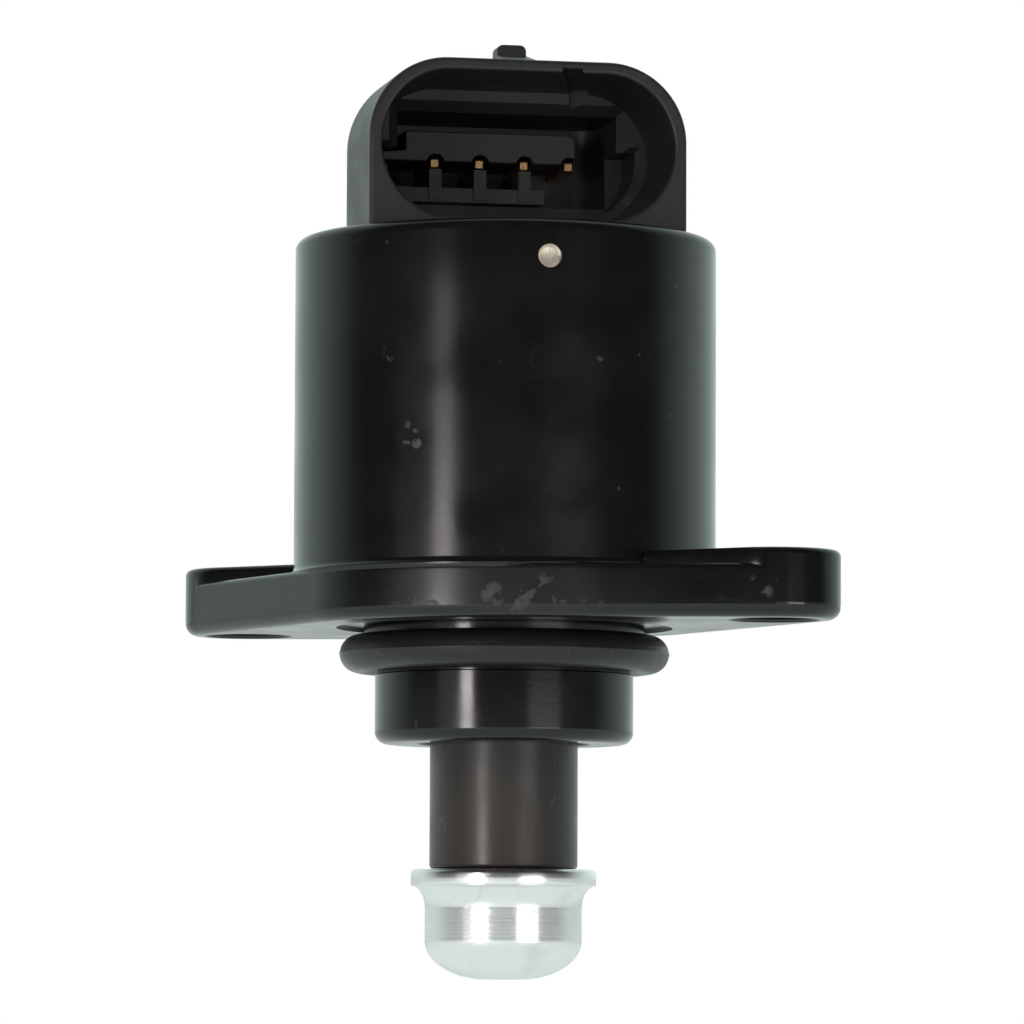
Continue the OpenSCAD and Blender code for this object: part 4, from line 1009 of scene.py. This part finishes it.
# Each terminal is a square bronze wire, bent once: the pin stands in the socket and the leg
# goes down through the cap to its coil. The tip of the pin is coined to a blunt point.
TIP_TAPER = 0.35
TIP_LENGTH = 0.4
PIN_EDGE = 0.08
BRONZE = (0.72, 0.42, 0.2, 1)
BROWNED_BRONZE = (0.3, 0.15, 0.06, 1)
bronze = metal("terminal_bronze", BRONZE, BROWNED_BRONZE, roughness=0.3, tarnish=0.5, depth=0.002)
pin_section = [(-PIN_HALF, -PIN_HALF), (PIN_HALF, -PIN_HALF), (PIN_HALF, PIN_HALF), (-PIN_HALF, PIN_HALF)]
for number, place in enumerate(pin_places, 1):
    pin = drawn(f"pin_{number}", [(place + u, PIN_HEIGHT + z) for u, z in pin_section], LEG_PLACE - PIN_HALF,
                [(2 * PIN_HALF, 1, 1), (PIN_TIP - TIP_LENGTH - LEG_PLACE - PIN_HALF, 1, 1)])
    opened(pin)
    choose(pin, "FACE", lambda face: face.normal.z < -0.9
           and face.calc_center_median().x < (LEG_PLACE + PIN_HALF) * MM)
    leg_length = PIN_HEIGHT - PIN_HALF - LEG_END
    bpy.ops.mesh.extrude_region_move(TRANSFORM_OT_translate={"value": (0, 0, -leg_length * MM)})
    bpy.ops.object.mode_set(mode="OBJECT")
    rounded_edges(pin, lambda edge: (edge.verts[0].co - edge.verts[1].co).length > 1.5 * MM, PIN_EDGE, 2)
    opened(pin)
    choose(pin, "FACE", lambda face: face.normal.x > 0.9 and face.calc_center_median().x > (PIN_TIP - 1) * MM)
    bpy.ops.mesh.extrude_region_move(TRANSFORM_OT_translate={"value": (TIP_LENGTH * MM, 0, 0)})
    bpy.ops.transform.resize(value=(1, 1 - TIP_TAPER, 1 - TIP_TAPER),
                             center_override=(PIN_TIP * MM, place * MM, PIN_HEIGHT * MM))
    bpy.ops.object.mode_set(mode="OBJECT")
    facing_connector(pin)
    finished(pin, "housing", "terminal_bronze", f"terminal_{number}")
    clothed(pin, bronze)


# The seal under the cap is the O-ring's rubber, the guide bush is pale acetal and the motor
# shield is moulded nylon. These pieces and all that follow are carried over from the packed
# model with its meshes, since they lie inside, and only get their finishes here.
ACETAL = (0.55, 0.53, 0.47, 1)
ACETAL_WEAR = (0.3, 0.28, 0.25, 1)
SHIELD_GREY = (0.04, 0.04, 0.042, 1)
SHIELD_WEAR = (0.1, 0.1, 0.1, 1)
clothed(nodes["cap_seal"], rubber)
clothed(nodes["guide_bush"], moulded_plastic(
    "guide_plastic", ACETAL, ACETAL_WEAR, roughness=0.4, grain=0.003, scratches=0.4)[0])
clothed(nodes["motor_shield"], moulded_plastic(
    "shield_plastic", SHIELD_GREY, SHIELD_WEAR, roughness=0.45, grain=0.006, grain_scale=2000.0, specks=0.4,
    scratches=0.4)[0])


# The four claw-pole yokes of the motor are pressed from soft sheet steel and thinly plated
# with zinc. The cups stand round the coils and the plates lie back to back between them.
ZINC = (0.56, 0.57, 0.58, 1)
DULL_ZINC = (0.34, 0.33, 0.31, 1)
pole_steel = metal("pole_steel", ZINC, DULL_ZINC, roughness=0.36, tarnish=0.6, depth=0.001)
for yoke in ("lower_pole_cup", "lower_pole_plate", "upper_pole_plate", "upper_pole_cup"):
    clothed(nodes[yoke], pole_steel)


# Each coil is enamelled copper wire wound in layers on a bobbin of glass-filled nylon. Its
# turns show as fine ridges round the coil.
BOBBIN_TAN = (0.3, 0.27, 0.2, 1)
BOBBIN_WEAR = (0.5, 0.47, 0.4, 1)
COPPER_SHADE = (0.3, 0.09, 0.035, 1)
COPPER = (0.75, 0.3, 0.13, 1)
WIRE_SPREAD = 2600.0
WIRE_RIDGE = 0.06
bobbin_skin = moulded_plastic("bobbin_plastic", BOBBIN_TAN, BOBBIN_WEAR, roughness=0.5, gloss_swing=0.06,
                              grain=0.006, grain_scale=1800.0, specks=0.4)[0]
copper, tree, shader, coords = started("copper_wire")
wire = placed(tree, "ShaderNodeTexWave", {"Vector": coords, "Scale": WIRE_SPREAD, "Distortion": 0.4,
                                          "Detail": 1.0}, bands_direction="Z").outputs["Fac"]
tree.links.new(blended(tree, wire, COPPER_SHADE, COPPER), shader.inputs["Base Color"])
tree.links.new(spread(tree, wire, 0.0, 1.0, 0.45, 0.25), shader.inputs["Roughness"])
tree.links.new(raised(tree, wire, WIRE_RIDGE), shader.inputs["Normal"])
shader.inputs["Metallic"].default_value = 0.85
for side in ("lower", "upper"):
    clothed(nodes[side + "_bobbin"], bobbin_skin)
    clothed(nodes[side + "_winding"], copper)


# The rotor's lower journal runs in a bush of sintered bronze. The rotor itself is a ring of
# ferrite on a moulded hub, with a drive nut of turned brass fixed in the hub.
SINTERED_BRONZE = (0.5, 0.3, 0.14, 1)
OILY_BRONZE = (0.22, 0.13, 0.07, 1)
FERRITE = (0.05, 0.05, 0.054, 1)
FERRITE_DUST = (0.14, 0.14, 0.15, 1)
HUB_WHITE = (0.62, 0.6, 0.55, 1)
HUB_WEAR = (0.4, 0.38, 0.34, 1)
BRASS = (0.8, 0.6, 0.26, 1)
DULL_BRASS = (0.5, 0.33, 0.12, 1)
clothed(nodes["front_bush"], metal(
    "bush_bronze", SINTERED_BRONZE, OILY_BRONZE, roughness=0.45, tarnish=0.9, depth=0.004))
clothed(nodes["rotor_magnet"], moulded_plastic(
    "magnet_ferrite", FERRITE, FERRITE_DUST, roughness=0.55, gloss_swing=0.1, grain=0.01, grain_scale=1500.0,
    specks=0.7, scratches=0.5)[0])
clothed(nodes["rotor_hub"], moulded_plastic(
    "hub_plastic", HUB_WHITE, HUB_WEAR, roughness=0.42, grain_scale=2200.0)[0])
clothed(nodes["rotor_nut"], metal("nut_brass", BRASS, DULL_BRASS, roughness=0.25, tarnish=0.5, depth=0.002))


# The rotor's ball bearing has races and balls of ground steel and a moulded brown cage. Over
# it lies the wavy washer of spring steel, coloured by its heat treatment.
BEARING_GREY = (0.66, 0.66, 0.67, 1)
BEARING_DULL = (0.45, 0.44, 0.42, 1)
CAGE_BROWN = (0.2, 0.1, 0.04, 1)
CAGE_WEAR = (0.4, 0.3, 0.2, 1)
BLUED_STEEL = (0.34, 0.36, 0.42, 1)
BROWNED_STEEL = (0.24, 0.19, 0.14, 1)
bearing_steel = metal("bearing_steel", BEARING_GREY, BEARING_DULL, roughness=0.14, tarnish=0.3, depth=0.0006)
for part in ("bearing_outer_race", "bearing_inner_race", "bearing_balls"):
    clothed(nodes[part], bearing_steel)
clothed(nodes["bearing_cage"], moulded_plastic("cage_plastic", CAGE_BROWN, CAGE_WEAR, roughness=0.4)[0])
clothed(nodes["spring_washer"], metal(
    "spring_steel", BLUED_STEEL, BROWNED_STEEL, roughness=0.3, tarnish=0.8, depth=0.001))
